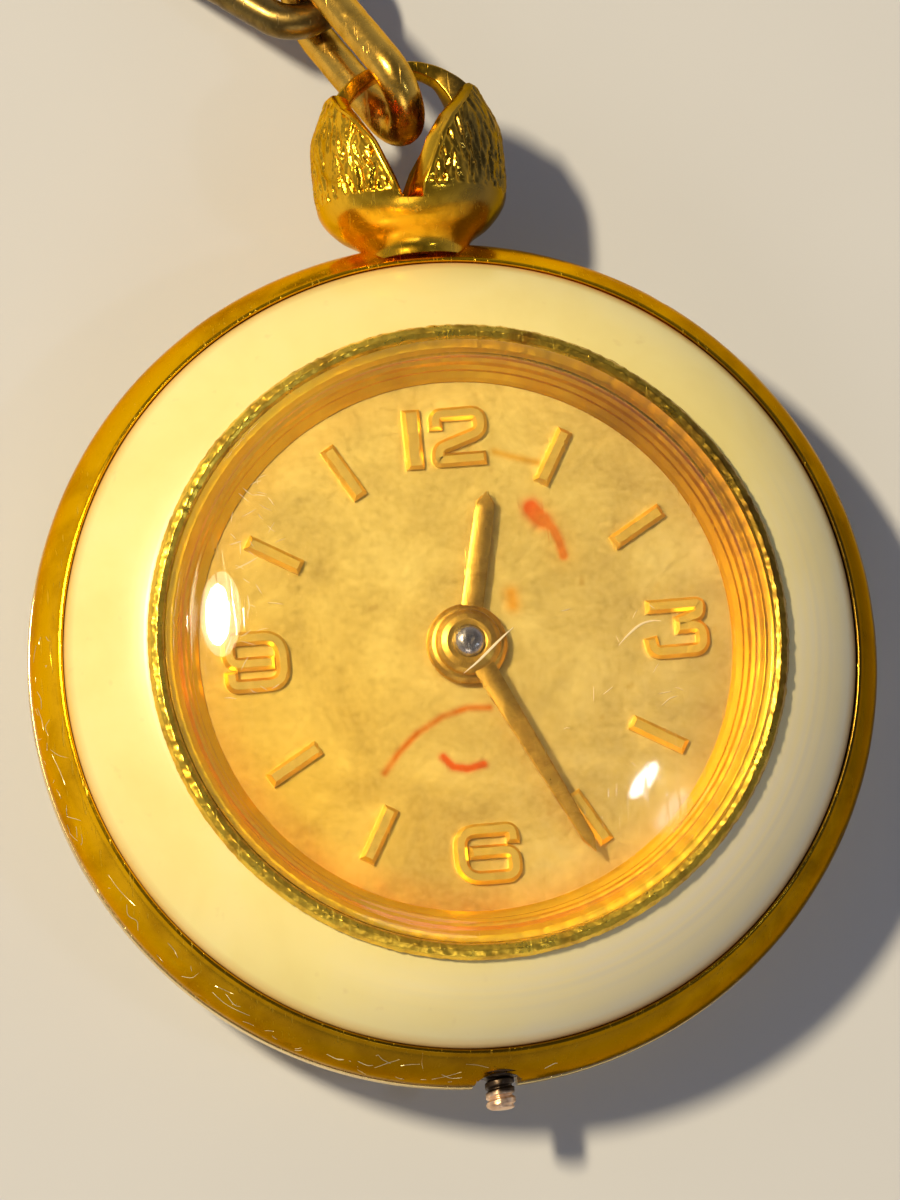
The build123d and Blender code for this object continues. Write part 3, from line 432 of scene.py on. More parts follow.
def striped_plate():
    """Rhodium-grey bridges with faint parallel graining."""
    m, nt, p = new_mat("bridge_plate")
    p.inputs["Metallic"].default_value = 1.0
    p.inputs["Base Color"].default_value = (0.66, 0.64, 0.60, 1)
    v = coords(nt, (1, 1, 1), (0, 0, 0.7))
    w = nt.nodes.new("ShaderNodeTexWave")
    w.wave_profile = "SAW"
    w.inputs["Scale"].default_value = 190.0
    w.inputs["Distortion"].default_value = 0.0
    nt.links.new(v, w.inputs["Vector"])
    f = noise_node(nt, coords(nt, (1, 0.05, 1), (0, 0, 0.7)), 9000.0, 2.0)
    r = math_node(nt, "ADD", mapr(nt, w.outputs["Fac"], 0, 1, 0.18, 0.34), mapr(nt, f, 0.3, 0.7, -0.04, 0.05))
    nt.links.new(r, p.inputs["Roughness"])
    bump(nt, p, math_node(nt, "ADD", w.outputs["Fac"], math_node(nt, "MULTIPLY", f, 0.3)), 5e-6, 0.6)
    return m


m_bridge = striped_plate()


def ruby():
    m, nt, p = new_mat("ruby")
    f = noise_node(nt, coords(nt), 3000.0, 2.0)
    nt.links.new(ramp(nt, f, ((0.3, (0.42, 0.01, 0.05)), (0.7, (0.62, 0.03, 0.10)))), p.inputs["Base Color"])
    p.inputs["Roughness"].default_value = 0.08
    p.inputs["Coat Weight"].default_value = 0.6
    return m


m_ruby = ruby()


def enamel():
    """Cream enamel: faint mottling, fine turned lines that catch light, a painted grey-lavender shade towards the
    lower right, and a glassy surface.
    """
    m, nt, p = new_mat("cream_enamel")
    vec = coords(nt)
    big = noise_node(nt, vec, 260.0, 4.0, 0.55, 0.3)
    spots = noise_node(nt, vec, 1500.0, 2.0, 0.5)
    c = ramp(nt, big, ((0.25, (0.83, 0.69, 0.25)), (0.5, (0.88, 0.75, 0.30)), (0.78, (0.90, 0.78, 0.36))))
    c = mix_col(nt, mapr(nt, spots, 0.68, 0.80, 0.0, 0.35), c, (0.66, 0.48, 0.19))
    sep = nt.nodes.new("ShaderNodeSeparateXYZ")
    nt.links.new(vec, sep.inputs[0])
    rad = math_node(nt, "SQRT", math_node(nt, "ADD", math_node(nt, "MULTIPLY", sep.outputs[0], sep.outputs[0]), math_node(nt, "MULTIPLY", sep.outputs[1], sep.outputs[1])))
    # Painted shade: towards the lower right the cream is mixed to a grey-lavender, as where the ring turns away from
    # the light.
    side = math_node(nt, "ADD", math_node(nt, "MULTIPLY", sep.outputs[0], 0.76), math_node(nt, "MULTIPLY", sep.outputs[1], -0.64))
    shade_to_right = mapr(nt, math_node(nt, "ADD", side, mapr(nt, big, 0.3, 0.7, -0.0012, 0.0012)), 0.0020, 0.0110, 0.0, 0.72)
    band = nt.nodes.new("ShaderNodeCombineXYZ")
    nt.links.new(rad, band.inputs[0])
    bands = noise_node(nt, band.outputs[0], 1300.0, 2.0, 0.5)
    c = mix_col(nt, shade_to_right, c, ramp(nt, bands, ((0.35, (0.57, 0.55, 0.58)), (0.5, (0.72, 0.64, 0.46)), (0.68, (0.62, 0.60, 0.66)))))
    edge = mapr(nt, rad, 0.01195, 0.01225, 0.0, 0.55)
    c = mix_col(nt, edge, c, (0.62, 0.30, 0.06))
    nt.links.new(c, p.inputs["Base Color"])
    ring = nt.nodes.new("ShaderNodeCombineXYZ")
    nt.links.new(rad, ring.inputs[0])
    lines = noise_node(nt, ring.outputs[0], 9000.0, 3.0, 0.6)
    wide = noise_node(nt, ring.outputs[0], 900.0, 1.0, 0.5)
    r = math_node(nt, "ADD", mapr(nt, lines, 0.3, 0.7, 0.30, 0.42), mapr(nt, spots, 0.4, 0.7, 0.0, 0.05))
    nt.links.new(r, p.inputs["Roughness"])
    p.inputs["Coat Weight"].default_value = 0.5
    p.inputs["Coat Roughness"].default_value = 0.30
    p.inputs["Subsurface Weight"].default_value = 0.12
    p.inputs["Subsurface Radius"].default_value = (0.0009, 0.0007, 0.0004)
    p.inputs["Subsurface Scale"].default_value = 1.0
    p.inputs["IOR"].default_value = 1.52
    bump(nt, p, math_node(nt, "ADD", math_node(nt, "MULTIPLY", lines, 0.35), wide), 1.2e-5, 0.5)
    return m


m_enamel = enamel()


def acrylic():
    """Clear acrylic, faintly yellowed and rubbed. Lamps shine through it."""
    m, nt, p = new_mat("acrylic")
    p.inputs["Base Color"].default_value = (1.0, 0.975, 0.92, 1)
    p.inputs["Transmission Weight"].default_value = 1.0
    p.inputs["IOR"].default_value = 1.49
    vec = coords(nt)
    f = noise_node(nt, vec, 700.0, 4.0, 0.6, 0.6)
    sc = scratches(nt, 0.8, 0.55)
    sep = nt.nodes.new("ShaderNodeSeparateXYZ")
    nt.links.new(vec, sep.inputs[0])
    left = mapr(nt, sep.outputs[0], -0.0055, -0.0078, 0.0, 0.030)
    low = math_node(nt, "SUBTRACT", math_node(nt, "MULTIPLY", sep.outputs[0], 0.75), math_node(nt, "MULTIPLY", sep.outputs[1], 0.66))
    low = mapr(nt, low, 0.0046, 0.0066, 0.0, 0.06)
    worn = math_node(nt, "MULTIPLY", math_node(nt, "MAXIMUM", left, low), mapr(nt, f, 0.3, 0.6, 0.6, 1.0))
    r = math_node(nt, "ADD", mapr(nt, f, 0.5, 0.85, 0.0, 0.02), math_node(nt, "MULTIPLY", sc, 0.12), True)
    r = math_node(nt, "ADD", r, worn, True)
    nt.links.new(r, p.inputs["Roughness"])
    bump(nt, p, math_node(nt, "SUBTRACT", math_node(nt, "MULTIPLY", f, 0.15), sc), 2.5e-6, 0.5)
    out = nt.nodes["Material Output"]
    lp = nt.nodes.new("ShaderNodeLightPath")
    tr = nt.nodes.new("ShaderNodeBsdfTransparent")
    tr.inputs["Color"].default_value = (0.93, 0.90, 0.84, 1)
    mx = nt.nodes.new("ShaderNodeMixShader")
    nt.links.new(lp.outputs["Is Shadow Ray"], mx.inputs[0])
    nt.links.new(p.outputs[0], mx.inputs[1])
    nt.links.new(tr.outputs[0], mx.inputs[2])
    nt.links.new(mx.outputs[0], out.inputs["Surface"])
    return m


m_crystal = acrylic()


def dial_face():
    """Champagne satin dial with age stains, painted light and painted shade held in a colour attribute."""
    m, nt, p = new_mat("dial_face")
    vec = coords(nt)
    big = noise_node(nt, vec, 330.0, 5.0, 0.6, 0.5)
    fine = noise_node(nt, vec, 5200.0, 4.0, 0.65)
    c = ramp(nt, big, ((0.27, (0.53, 0.39, 0.09)), (0.5, (0.72, 0.56, 0.145)), (0.72, (0.92, 0.76, 0.24))))
    c = mix_col(nt, mapr(nt, fine, 0.36, 0.70, 0.0, 0.20), c, (0.94, 0.80, 0.33))
    at = nt.nodes.new("ShaderNodeVertexColor")
    at.layer_name = "stain_and_shade"
    c = mix_col(nt, 1.0, c, at.outputs["Color"], "MULTIPLY")
    nt.links.new(c, p.inputs["Base Color"])
    p.inputs["Metallic"].default_value = 0.6
    nt.links.new(mapr(nt, fine, 0.3, 0.7, 0.38, 0.52), p.inputs["Roughness"])
    bump(nt, p, math_node(nt, "ADD", math_node(nt, "MULTIPLY", big, 0.6), math_node(nt, "MULTIPLY", fine, 0.4)), 6e-6, 0.5)
    return m


m_dial = dial_face()


def plain(name, col, rough, scale=1500.0, amt=0.06):
    m, nt, p = new_mat(name)
    f = noise_node(nt, coords(nt), scale, 3.0)
    lo = tuple(max(0.0, v * (1 - amt)) for v in col)
    hi = tuple(min(1.0, v * (1 + amt)) for v in col)
    nt.links.new(ramp(nt, f, ((0.3, lo), (0.7, hi))), p.inputs["Base Color"])
    p.inputs["Roughness"].default_value = rough
    return m


m_fibre = plain("scratch_haze", (0.92, 0.78, 0.52), 0.35)
m_floor = plain("floor_paper", (0.60, 0.61, 0.64), 0.85, 60.0, 0.015)

# ------------------------------------------------------------------ case back
sec = [(0.0, 0.0), (BF := 4.9, 0.0)]
sec += arc3((5.1, 0.006), (8.93, 0.72), (12.7, 2.3), 30)
sec += rounded([(12.7, 2.3), (13.05, 2.42, 0.1), (13.18, 2.60, 0.10), (13.17, 2.965, 0.05), (12.04, 2.965, 0.02), (12.02, 3.25, 0.04), (11.62, 3.25, 0.04), (11.58, 2.75)], 4, closed=False)[1:]
sec += arc3((11.58, 2.75), (8.41, 1.24), (5.0, 0.5), 20)[1:]
sec += [(0.0, 0.5)]
v, f = lathe(sec, 300)
carve("back_shell", v, f, [box_mesh(-0.7, 0.7, -13.6, -12.55, 2.2, 3.4), rod_mesh(0.88, -12.3, -11.3)], m_back, "back", ["case_back"], 30)


# ------------------------------------------------------------------ case middle
def rim_move(r, z, t):
    """The band has been knocked and rubbed: it is very slightly uneven."""
    if r > 12.2:
        x, y = math.cos(t), math.sin(t)
        w = 0.010 * n3(x, y, z * 0.1, 2.6, 3.0) + 0.006 * n3(x, y, z * 0.15, 9.0, 8.0)
        nick = 0.0
        for a, dz, depth, wid in NICKS:
            d = ((math.sin(t - a) * 12.8) ** 2 + ((z - dz) * 0.8) ** 2) / (wid * 0.6) ** 2
            if d < 6 and math.cos(t - a) > 0:
                nick += 2.0 * depth * math.exp(-d)
        return r + w - nick, z
    return r, z


NICKS = [(math.radians(a), z, d, w) for a, z, d, w in (
    (222, 4.6, 0.035, 0.16), (228, 3.7, 0.03, 0.2), (236, 4.9, 0.03, 0.12), (241, 4.1, 0.045, 0.14), (249, 4.4, 0.03, 0.22), (255, 3.9, 0.03, 0.12),
    (262, 4.3, 0.02, 0.1), (278, 4.6, 0.03, 0.1), (283, 4.2, 0.025, 0.12), (296, 4.0, 0.02, 0.2), (150, 4.6, 0.03, 0.15), (62, 4.7, 0.03, 0.14),
    (55, 4.2, 0.03, 0.2), (18, 4.5, 0.02, 0.18), (196, 4.4, 0.02, 0.25), (172, 4.0, 0.015, 0.3), (330, 4.2, 0.02, 0.25), (118, 4.8, 0.02, 0.12))]

sec = rounded([(12.10, 3.0), (12.98, 3.0, 0.04), (13.13, 3.12, 0.12), (13.148, 3.25)], 5, closed=False)
sec += arc3((13.15, 3.3), (13.05, 4.35), (12.47, 5.36), 34)
sec += rounded([(12.47, 5.36), (12.41, 5.47, 0.05), (12.33, 5.50, 0.03), (12.275, 5.47, 0.02), (12.262, 5.34)], 3, closed=False)[1:]
sec += [(11.95, 5.02), (9.63, 7.02), (9.2, 7.02), (9.2, 6.22), (9.95, 6.22), (9.95, 5.98), (11.35, 4.78), (12.0, 3.95), (12.10, 3.5)]
v, f = lathe(sec, 420, rim_move)
carve("case_band", v, f, [
    rod_mesh(0.66, -13.6, -12.5), box_mesh(-0.7, 0.7, -13.6, -12.88, 2.8, 4.15), rod_mesh(0.84, -12.92, -11.0),
    rod_mesh(1.09, 12.48, 13.6, 0, 4.2), rod_mesh(0.5, 10.8, 12.6, 0, 4.2), rod_mesh(0.74, 10.7, 11.75, 0, 4.2),
], m_case, "case", ["case_middle"], 30)

# stem tube
tv, tf = [], []
prof = rounded([(0.67, -12.9, 0.04), (0.82, -12.9, 0.05), (0.82, -11.3, 0.02), (0.67, -11.3, 0.02)], 3)
for j in range(64):
    t = 2 * math.pi * j / 64
    for r, y in prof:
        tv.append((r * math.cos(t), y, 4.0 + r * math.sin(t)))
np_ = len(prof)
for j in range(64):
    k = (j + 1) % 64
    for i in range(np_):
        m = (i + 1) % np_
        tf.append((j * np_ + i, j * np_ + m, k * np_ + m, k * np_ + i))
mesh_object("stem_sleeve", tv, tf, m_tube, "case", ["stem_tube"])

# ------------------------------------------------------------------ enamel ring
sec = [(12.20, 5.30), (12.235, 5.34), (12.24, 5.38)]
sec += arc3((12.22, 5.43), (11.235, 6.60), (9.88, 7.42), 44)
sec += rounded([(9.88, 7.42), (9.80, 7.44, 0.03), (9.665, 7.37, 0.03), (9.665, 7.04), (11.96, 5.06)], 3, closed=False)[1:]


def enamel_move(r, z, t):
    x, y = math.cos(t), math.sin(t)
    return r, z + 0.008 * n3(x * r, y * r, 0, 0.35, 5.0)


v, f = lathe(sec, 420, enamel_move)
mesh_object("enamel_band", v, f, m_enamel, "case", ["enamel_ring"], 45)


# ------------------------------------------------------------------ inner bezel: a beaded ring, worn and gritty
def bezel_move(r, z, t):
    if z > 7.42:
        x, y = math.cos(t) * r, math.sin(t) * r
        wear = 0.5 + 0.5 * n3(x, y, 0, 0.45, 21.0)
        bead = 0.5 + 0.5 * math.cos(t * 150)
        side = max(0.0, min(1.0, (r - 9.40) / 0.3))
        d = -0.022 * (1 - bead) ** 1.5 * side * wear
        g = 0.024 * n3(x, y, z, 4.5, 4.0) + 0.017 * n3(x, y, z, 11.0, 9.0)
        if r > 9.36:
            return r + d * 0.6 + g * 0.8, z + (d + g) * 0.9
        return r, z + g * 0.4
    return r, z


sec = rounded([(9.22, 7.03), (9.62, 7.03), (9.62, 7.42, 0.02), (9.80, 7.46, 0.04), (9.83, 7.62, 0.06), (9.74, 7.84, 0.08), (9.56, 7.94, 0.08), (9.40, 7.88, 0.05), (9.335, 7.74, 0.04), (9.335, 7.54, 0.02), (9.22, 7.54, 0.02)], 4)
v, f = lathe(sec, 900, bezel_move)
mesh_object("beaded_bezel", v, f, m_bezel, "case", ["inner_bezel"], 60)

# ------------------------------------------------------------------ crystal
sec = [(0.0, 9.85)]
sec += arc3((0.06, 9.85), (5.0, 9.33), (9.20, 8.045), 40)
sec += rounded([(9.20, 8.045), (9.31, 7.95, 0.09), (9.31, 7.56, 0.03), (9.06, 7.56, 0.03), (8.84, 7.68, 0.03), (8.75, 7.76)], 4, closed=False)[1:]
sec += arc3((8.70, 7.80), (4.8, 8.82), (0.06, 9.30), 36)
sec += [(0.0, 9.30)]
v, f = lathe(sec, 256)
mesh_object("domed_crystal", v, f, m_crystal, "case", ["crystal"], 30)


def crystal_z(x, y):
    """Height of the crystal's outside."""
    r2 = x * x + y * y
    return 9.85 - (24.1 - math.sqrt(24.1 ** 2 - r2))


def hairline(pts, w, lift=0.004):
    """A thin raised scratch that follows the crystal, tapering at both ends."""
    c = catmull(pts, 26)
    vs, fs = [], []
    n = len(c)
    for i, (x, y) in enumerate(c):
        a = c[max(i - 1, 0)]
        b = c[min(i + 1, n - 1)]
        d = b - a
        d /= np.linalg.norm(d)
        q = np.array([-d[1], d[0]])
        ww = w / 2 * max(0.12, math.sin(math.pi * (i + 0.5) / n)) ** 0.6
        for s, up in ((-1, -0.006), (0, lift * 2), (1, -0.006)):
            px, py = x + q[0] * ww * s, y + q[1] * ww * s
            vs.append((px, py, crystal_z(px, py) + up))
        vs.append((x, y, crystal_z(x, y) - 0.012))
    for i in range(n - 1):
        o, p = 4 * i, 4 * (i + 1)
        for a, b in ((0, 1), (1, 2), (2, 3), (3, 0)):
            fs.append((o + a, o + b, p + b, p + a))
    fs.append((0, 1, 2, 3))
    fs.append((4 * n - 4, 4 * n - 3, 4 * n - 2, 4 * n - 1))
    return vs, fs


# ------------------------------------------------------------------ ring under the crystal, with a milled step
def rehaut_move(r, z, t):
    if 8.60 < r < 9.05 and z > 7.0:
        d = max(0.0, math.cos(t * 84)) ** 3
        return r + 0.012 * d, z - 0.014 * d
    return r, z


sec = rounded([(8.12, 6.51), (8.12, 6.56, 0.03), (8.24, 6.66, 0.03), (8.42, 6.78, 0.03), (8.45, 6.88, 0.03), (8.58, 6.96, 0.03), (8.66, 7.12, 0.03), (8.82, 7.22, 0.04), (8.86, 7.42, 0.03), (9.00, 7.553, 0.03), (9.325, 7.555), (9.325, 7.543), (9.18, 7.543), (9.18, 6.51)], 3)
v, f = lathe(sec, 504, rehaut_move)
mesh_object("dial_surround", v, f, m_rehaut, "case", ["rehaut_ring"], 40)

# ------------------------------------------------------------------ dial
RINGS = [0.85, 0.87] + list(np.linspace(0.9, 8.2, 150)) + [8.4, 8.7, 9.05, 9.08]
SEGS = 540
dv, df, stain_and_shade = [], [], []


def px_to_dial(px, py):
    """A place on the dial from its place in the framing of the view, by the camera's own fit."""
    return DIAL_FIT(px, py)


def seg_dist(px, py, pts):
    best = 1e9
    for i in range(len(pts) - 1):
        ax, ay = pts[i]
        bx, by = pts[i + 1]
        dx, dy = bx - ax, by - ay
        t = max(0.0, min(1.0, ((px - ax) * dx + (py - ay) * dy) / (dx * dx + dy * dy)))
        best = min(best, math.hypot(px - ax - t * dx, py - ay - t * dy))
    return best


# the view's scale on the dial: 32.8 units to a millimetre, turned by the camera's roll
def DIAL_FIT(px, py):
    u, w = (px - 469.0) / 32.7, -(py - 645.0) / 32.3
    a = math.radians(5.6)
    return (u * math.cos(a) + w * math.sin(a), -u * math.sin(a) + w * math.cos(a))


SMEAR = [DIAL_FIT(*q) for q in ((533, 507), (545, 518), (556, 528), (562, 541), (566, 554))]
THIN = [DIAL_FIT(*q) for q in ((388, 772), (402, 752), (420, 733), (445, 716), (470, 707), (492, 706))]
CRES = [DIAL_FIT(*q) for q in ((446, 756), (456, 765), (470, 767), (486, 762))]
DROP = [DIAL_FIT(*q) for q in ((514, 592), (516, 604))]
TAIL = [DIAL_FIT(*q) for q in ((497, 452), (512, 456), (530, 460), (540, 462))]
for r in RINGS:
    for j in range(SEGS):
        t = 2 * math.pi * j / SEGS
        x, y = r * math.cos(t), r * math.sin(t)
        dv.append((x, y, 6.5 + (0.0 if r > 0.88 else -0.02)))
        col = np.array([1.0, 1.0, 1.0])

        def lay(c, target, k):
            k = max(0.0, min(1.0, k))
            return c * (1 - k) + np.array(target) * k

        wob = 0.5 + 0.5 * n3(x, y, 0, 3.0, 2.0)
        # painted light: a deeper yellow low on the left
        col = lay(col, (0.97, 0.84, 0.40), 0.9 * max(0.0, min(1.0, (-0.55 * x - 0.85 * y + 1.0) / 7.5)))
        # painted shade: paler and greyer towards the right
        col = lay(col, (0.86, 0.86, 1.10), 0.9 * max(0.0, min(1.0, (x - 0.6 * y + 2.5) / 9)) * (0.75 + 0.5 * wob))
        d = seg_dist(x, y, SMEAR[:2])
        col = lay(col, (0.95, 0.17, 0.01), 1.0 * min(1.0, 1.6 * math.exp(-(d / (0.20 + 0.10 * wob)) ** 2)))
        d = seg_dist(x, y, SMEAR[1:])
        col = lay(col, (0.93, 0.20, 0.02), 0.95 * min(1.0, 1.5 * math.exp(-(d / (0.10 + 0.06 * wob)) ** 2)))
        col = lay(col, (1.0, 0.74, 0.35), 0.30 * math.exp(-(d / 0.5) ** 2))
        d = seg_dist(x, y, THIN)
        col = lay(col, (0.86, 0.30, 0.03), 1.0 * min(1.0, 0.65 + 0.6 * wob) * math.exp(-(d / 0.11) ** 2))
        d = seg_dist(x, y, CRES)
        col = lay(col, (0.85, 0.18, 0.03), 1.0 * min(1.0, 1.4 * math.exp(-(d / (0.09 + 0.06 * wob)) ** 2)))
        d = seg_dist(x, y, DROP)
        col = lay(col, (1.0, 0.58, 0.08), 0.85 * math.exp(-(d / 0.24) ** 2))
        d = seg_dist(x, y, TAIL)
        col = lay(col, (0.86, 0.58, 0.12), 0.85 * math.exp(-(d / 0.12) ** 2))
        # painted reflection: an orange glow from the gold ring near the lower edge
        edge = max(0.0, (r - 7.05) / 1.1)
        low = max(0.0, math.cos(t - math.radians(232))) ** 1.5 + 0.35 * max(0.0, math.cos(t - math.radians(300)))
        col = lay(col, (0.98, 0.58, 0.24), 0.75 * min(1.0, edge) * low * (0.55 + 0.6 * wob))
        # a lighter rubbed crescent at the upper left, under the edge of the dome
        col = lay(col, (1.0, 0.86, 0.66), 0.5 * min(1.0, max(0.0, (r - 6.9) / 0.8)) * max(0.0, math.cos(t - math.radians(150))) ** 2)
        sp = n3(x, y, 0, 2.3, 11.0)
        if sp > 0.62:
            col = lay(col, (0.75, 0.60, 0.42), (sp - 0.62) * 3.0)
        stain_and_shade.append((*col, 1.0))
nr = len(RINGS)
for i in range(nr - 1):
    for j in range(SEGS):
        k = (j + 1) % SEGS
        df.append((i * SEGS + j, (i + 1) * SEGS + j, (i + 1) * SEGS + k, i * SEGS + k))
base = len(dv)
for r, z in ((9.08, 6.15), (0.85, 6.15)):
    for j in range(SEGS):
        t = 2 * math.pi * j / SEGS
        dv.append((r * math.cos(t), r * math.sin(t), z))
        stain_and_shade.append((1, 1, 1, 1))
for j in range(SEGS):
    k = (j + 1) % SEGS
    df.append(((nr - 1) * SEGS + j, base + j, base + k, (nr - 1) * SEGS + k))
    df.append((base + j, base + SEGS + j, base + SEGS + k, base + k))
    df.append((base + SEGS + j, j, k, base + SEGS + k))
me = bpy.data.meshes.new("dial_plate")
me.from_pydata([(x * MM, y * MM, z * MM) for x, y, z in dv], [], df)
att = me.color_attributes.new("stain_and_shade", "FLOAT_COLOR", "POINT")
att.data.foreach_set("color", np.array(stain_and_shade, np.float32).ravel())
bm = bmesh.new()
bm.from_mesh(me)
bmesh.ops.recalc_face_normals(bm, faces=bm.faces)
bm.to_mesh(me)
bm.free()
finish_object("dial_plate", me, m_dial, "case", ["dial"], 40)


# ------------------------------------------------------------------ markers
def stroke_mesh(path, w, z0, h, bev=0.11, foot=0.55):
    """A bevelled strip along a path: upright sides, a bevel and a flat top."""
    p = np.array(path, float)
    n = len(p)
    d = np.zeros_like(p)
    d[1:-1] = p[2:] - p[:-2]
    d[0] = p[1] - p[0]
    d[-1] = p[-1] - p[-2]
    d /= np.linalg.norm(d, axis=1)[:, None]
    q = np.stack([-d[:, 1], d[:, 0]], axis=1)
    rings = []
    half = w / 2
    top = half - bev

    def ring(c, qq, z_top, t_half):
        out = []
        for off, z in ((-half, z0), (-half, z0 + h * foot), (-t_half, z_top), (t_half, z_top), (half, z0 + h * foot), (half, z0)):
            out.append((c[0] + qq[0] * off, c[1] + qq[1] * off, z))
        return out

    rings.append(ring(p[0] - d[0] * 0.0, q[0], z0 + h * foot, half * 0.98))
    rings.append(ring(p[0] + d[0] * bev, q[0], z0 + h, top))
    for i in range(1, n - 1):
        if np.linalg.norm(p[i] - p[0]) > bev * 1.3 and np.linalg.norm(p[i] - p[-1]) > bev * 1.3:
            rings.append(ring(p[i], q[i], z0 + h, top))
    rings.append(ring(p[-1] - d[-1] * bev, q[-1], z0 + h, top))
    rings.append(ring(p[-1], q[-1], z0 + h * foot, half * 0.98))
    vs = [v for r in rings for v in r]
    fs = []
    for i in range(len(rings) - 1):
        for k in range(5):
            a = i * 6 + k
            fs.append((a, a + 1, a + 7, a + 6))
        fs.append((i * 6 + 5, i * 6, i * 6 + 6, i * 6 + 11))
    fs.append(tuple(range(6)))
    m = (len(rings) - 1) * 6
    fs.append(tuple(m + k for k in range(6)))
    return vs, fs


def joined(parts):
    vs, fs = [], []
    for v, f in parts:
        o = len(vs)
        vs += list(v)
        fs += [tuple(i + o for i in q) for q in f]
    return vs, fs


def placed(part, x, y, turn=0.0):
    v, f = part
    c, s = math.cos(turn), math.sin(turn)
    return [(a * c - b * s + x, a * s + b * c + y, z) for a, b, z in v], f


ZD, MH = 6.5, 0.26
bars = []
for hour in (1, 2, 4, 5, 7, 8, 10, 11):
    a = math.radians(90 - 30 * hour)
    p0, p1 = 5.5, 7.32
    path = [(math.cos(a) * (p0 + (p1 - p0) * k / 6), math.sin(a) * (p0 + (p1 - p0) * k / 6)) for k in range(7)]
    bars.append(stroke_mesh(path, 0.47, ZD - 0.01, MH + 0.01))
v, f = joined(bars)
mesh_object("baton_markers", v, f, m_mark, "case", ["hour_batons"], 24, 0.0003)


def glyph(pts, w=0.42, steps=7):
    return stroke_mesh(rounded(pts, steps, closed=False, support=10.0), w, ZD - 0.01, MH + 0.01, 0.10)


g1 = glyph([(0, -0.92), (0, -0.3), (0, 0.3), (0, 0.92)], 0.54)
g2 = glyph([(-0.66, 0.22), (-0.66, 0.70, 0.36), (0.70, 0.70, 0.55), (0.70, 0.10, 0.36), (-0.62, -0.34, 0.30), (-0.66, -0.71, 0.06), (0.80, -0.71)])
g3a = glyph([(-0.84, 0.70), (0.80, 0.70, 0.14), (0.74, 0.38, 0.14), (0.02, 0.14)])
g3b = glyph([(0.00, 0.02), (0.80, 0.04, 0.42), (0.80, -0.70, 0.50), (-0.72, -0.70, 0.40), (-0.80, -0.22)])
g6 = glyph([(0.80, 0.26), (0.80, 0.72, 0.50), (-0.80, 0.72, 0.50), (-0.80, -0.72, 0.62), (0.82, -0.72, 0.60), (0.82, 0.06, 0.42), (-0.55, 0.06)])
v, f = joined([
    placed(g1, -1.0, 6.4), placed(g2, 0.38, 6.4), placed(g3a, 6.4, 0), placed(g3b, 6.4, 0),
    placed(g6, 0, -6.4), placed(g6, -6.4, 0, math.pi),
])
mesh_object("raised_numerals", v, f, m_mark, "case", ["dial_numerals"], 24, 0.0003)


# ------------------------------------------------------------------ hands
def hand_blade(length, w0, w1, z0, z1, start, tip, ridge=0.014):
    """A hand with a low ridge along its middle and soft edges."""
    rows = []
    ys = list(np.linspace(start, length - tip, 14)) + [length - tip * 0.66, length - tip * 0.33, length - 0.02]
    for y in ys:
        if y <= length - tip:
            w = w0 + (w1 - w0) * (y - start) / (length - tip - start)
        else:
            w = max(0.03, w1 * (length - y) / tip)
        h = w / 2
        rows.append([(-h, y, z0), (-h, y, z1 - 0.03), (-h * 0.82, y, z1), (0, y, z1 + ridge * min(1, w / w0)), (h * 0.82, y, z1), (h, y, z1 - 0.03), (h, y, z0)])
    vs = [p for r in rows for p in r]
    fs = []
    n = len(rows)
    for i in range(n - 1):
        for k in range(6):
            a = i * 7 + k
            fs.append((a, a + 1, a + 8, a + 7))
        fs.append((i * 7 + 6, i * 7, i * 7 + 7, i * 7 + 13))
    fs.append(tuple(range(7)))
    fs.append(tuple((n - 1) * 7 + k for k in range(7)))
    return vs, fs


HOUR, MINUTE = -math.radians(12.85), -math.radians(154.2)
hub = lathe(rounded([(0.72, 6.68), (1.20, 6.68, 0.03), (1.26, 6.74, 0.06), (1.22, 6.87, 0.10), (1.10, 6.97, 0.10), (0.94, 7.02, 0.05), (0.72, 7.02, 0.02)], 4), 96)
v, f = joined([placed(hand_blade(4.75, 0.68, 0.60, 6.78, 6.90, 1.0, 0.40), 0, 0, HOUR), hub])
mesh_object("hour_pointer", v, f, m_hand, "hours", ["hour_hand"], 26, 0.0003)

hub = lathe(rounded([(0.37, 7.06), (0.98, 7.06, 0.03), (1.03, 7.11, 0.05), (0.98, 7.21, 0.10), (0.85, 7.31, 0.10), (0.68, 7.37, 0.06), (0.56, 7.36, 0.02), (0.37, 7.30)], 4), 96)
v, f = joined([placed(hand_blade(7.45, 0.68, 0.38, 7.12, 7.24, 0.8, 0.50), 0, 0, MINUTE), hub])
mesh_object("minute_pointer", v, f, m_hand, "minutes", ["minute_hand"], 26, 0.0003)
sec = [(0.36, 7.34)] + arc3((0.52, 7.33), (0.40, 7.53), (0.06, 7.61), 14) + [(0.0, 7.61), (0.0, 7.42), (0.36, 7.42)]
v, f = lathe(sec, 64)
mesh_object("centre_cap", v, f, m_cap, "minutes", ["hand_cap"], 40)

# ------------------------------------------------------------------ bow
BZ = 4.2
OUT = catmull([(1.54, 12.55), (1.60, 12.85), (1.84, 13.15), (2.42, 13.55), (2.92, 14.25), (3.04, 15.4), (2.95, 16.6), (2.42, 17.85)], 400)
INN = catmull([(0.02, 13.85), (1.5, 13.98), (2.3, 14.5), (2.54, 15.4), (2.45, 16.6), (1.95, 17.68)], 400)
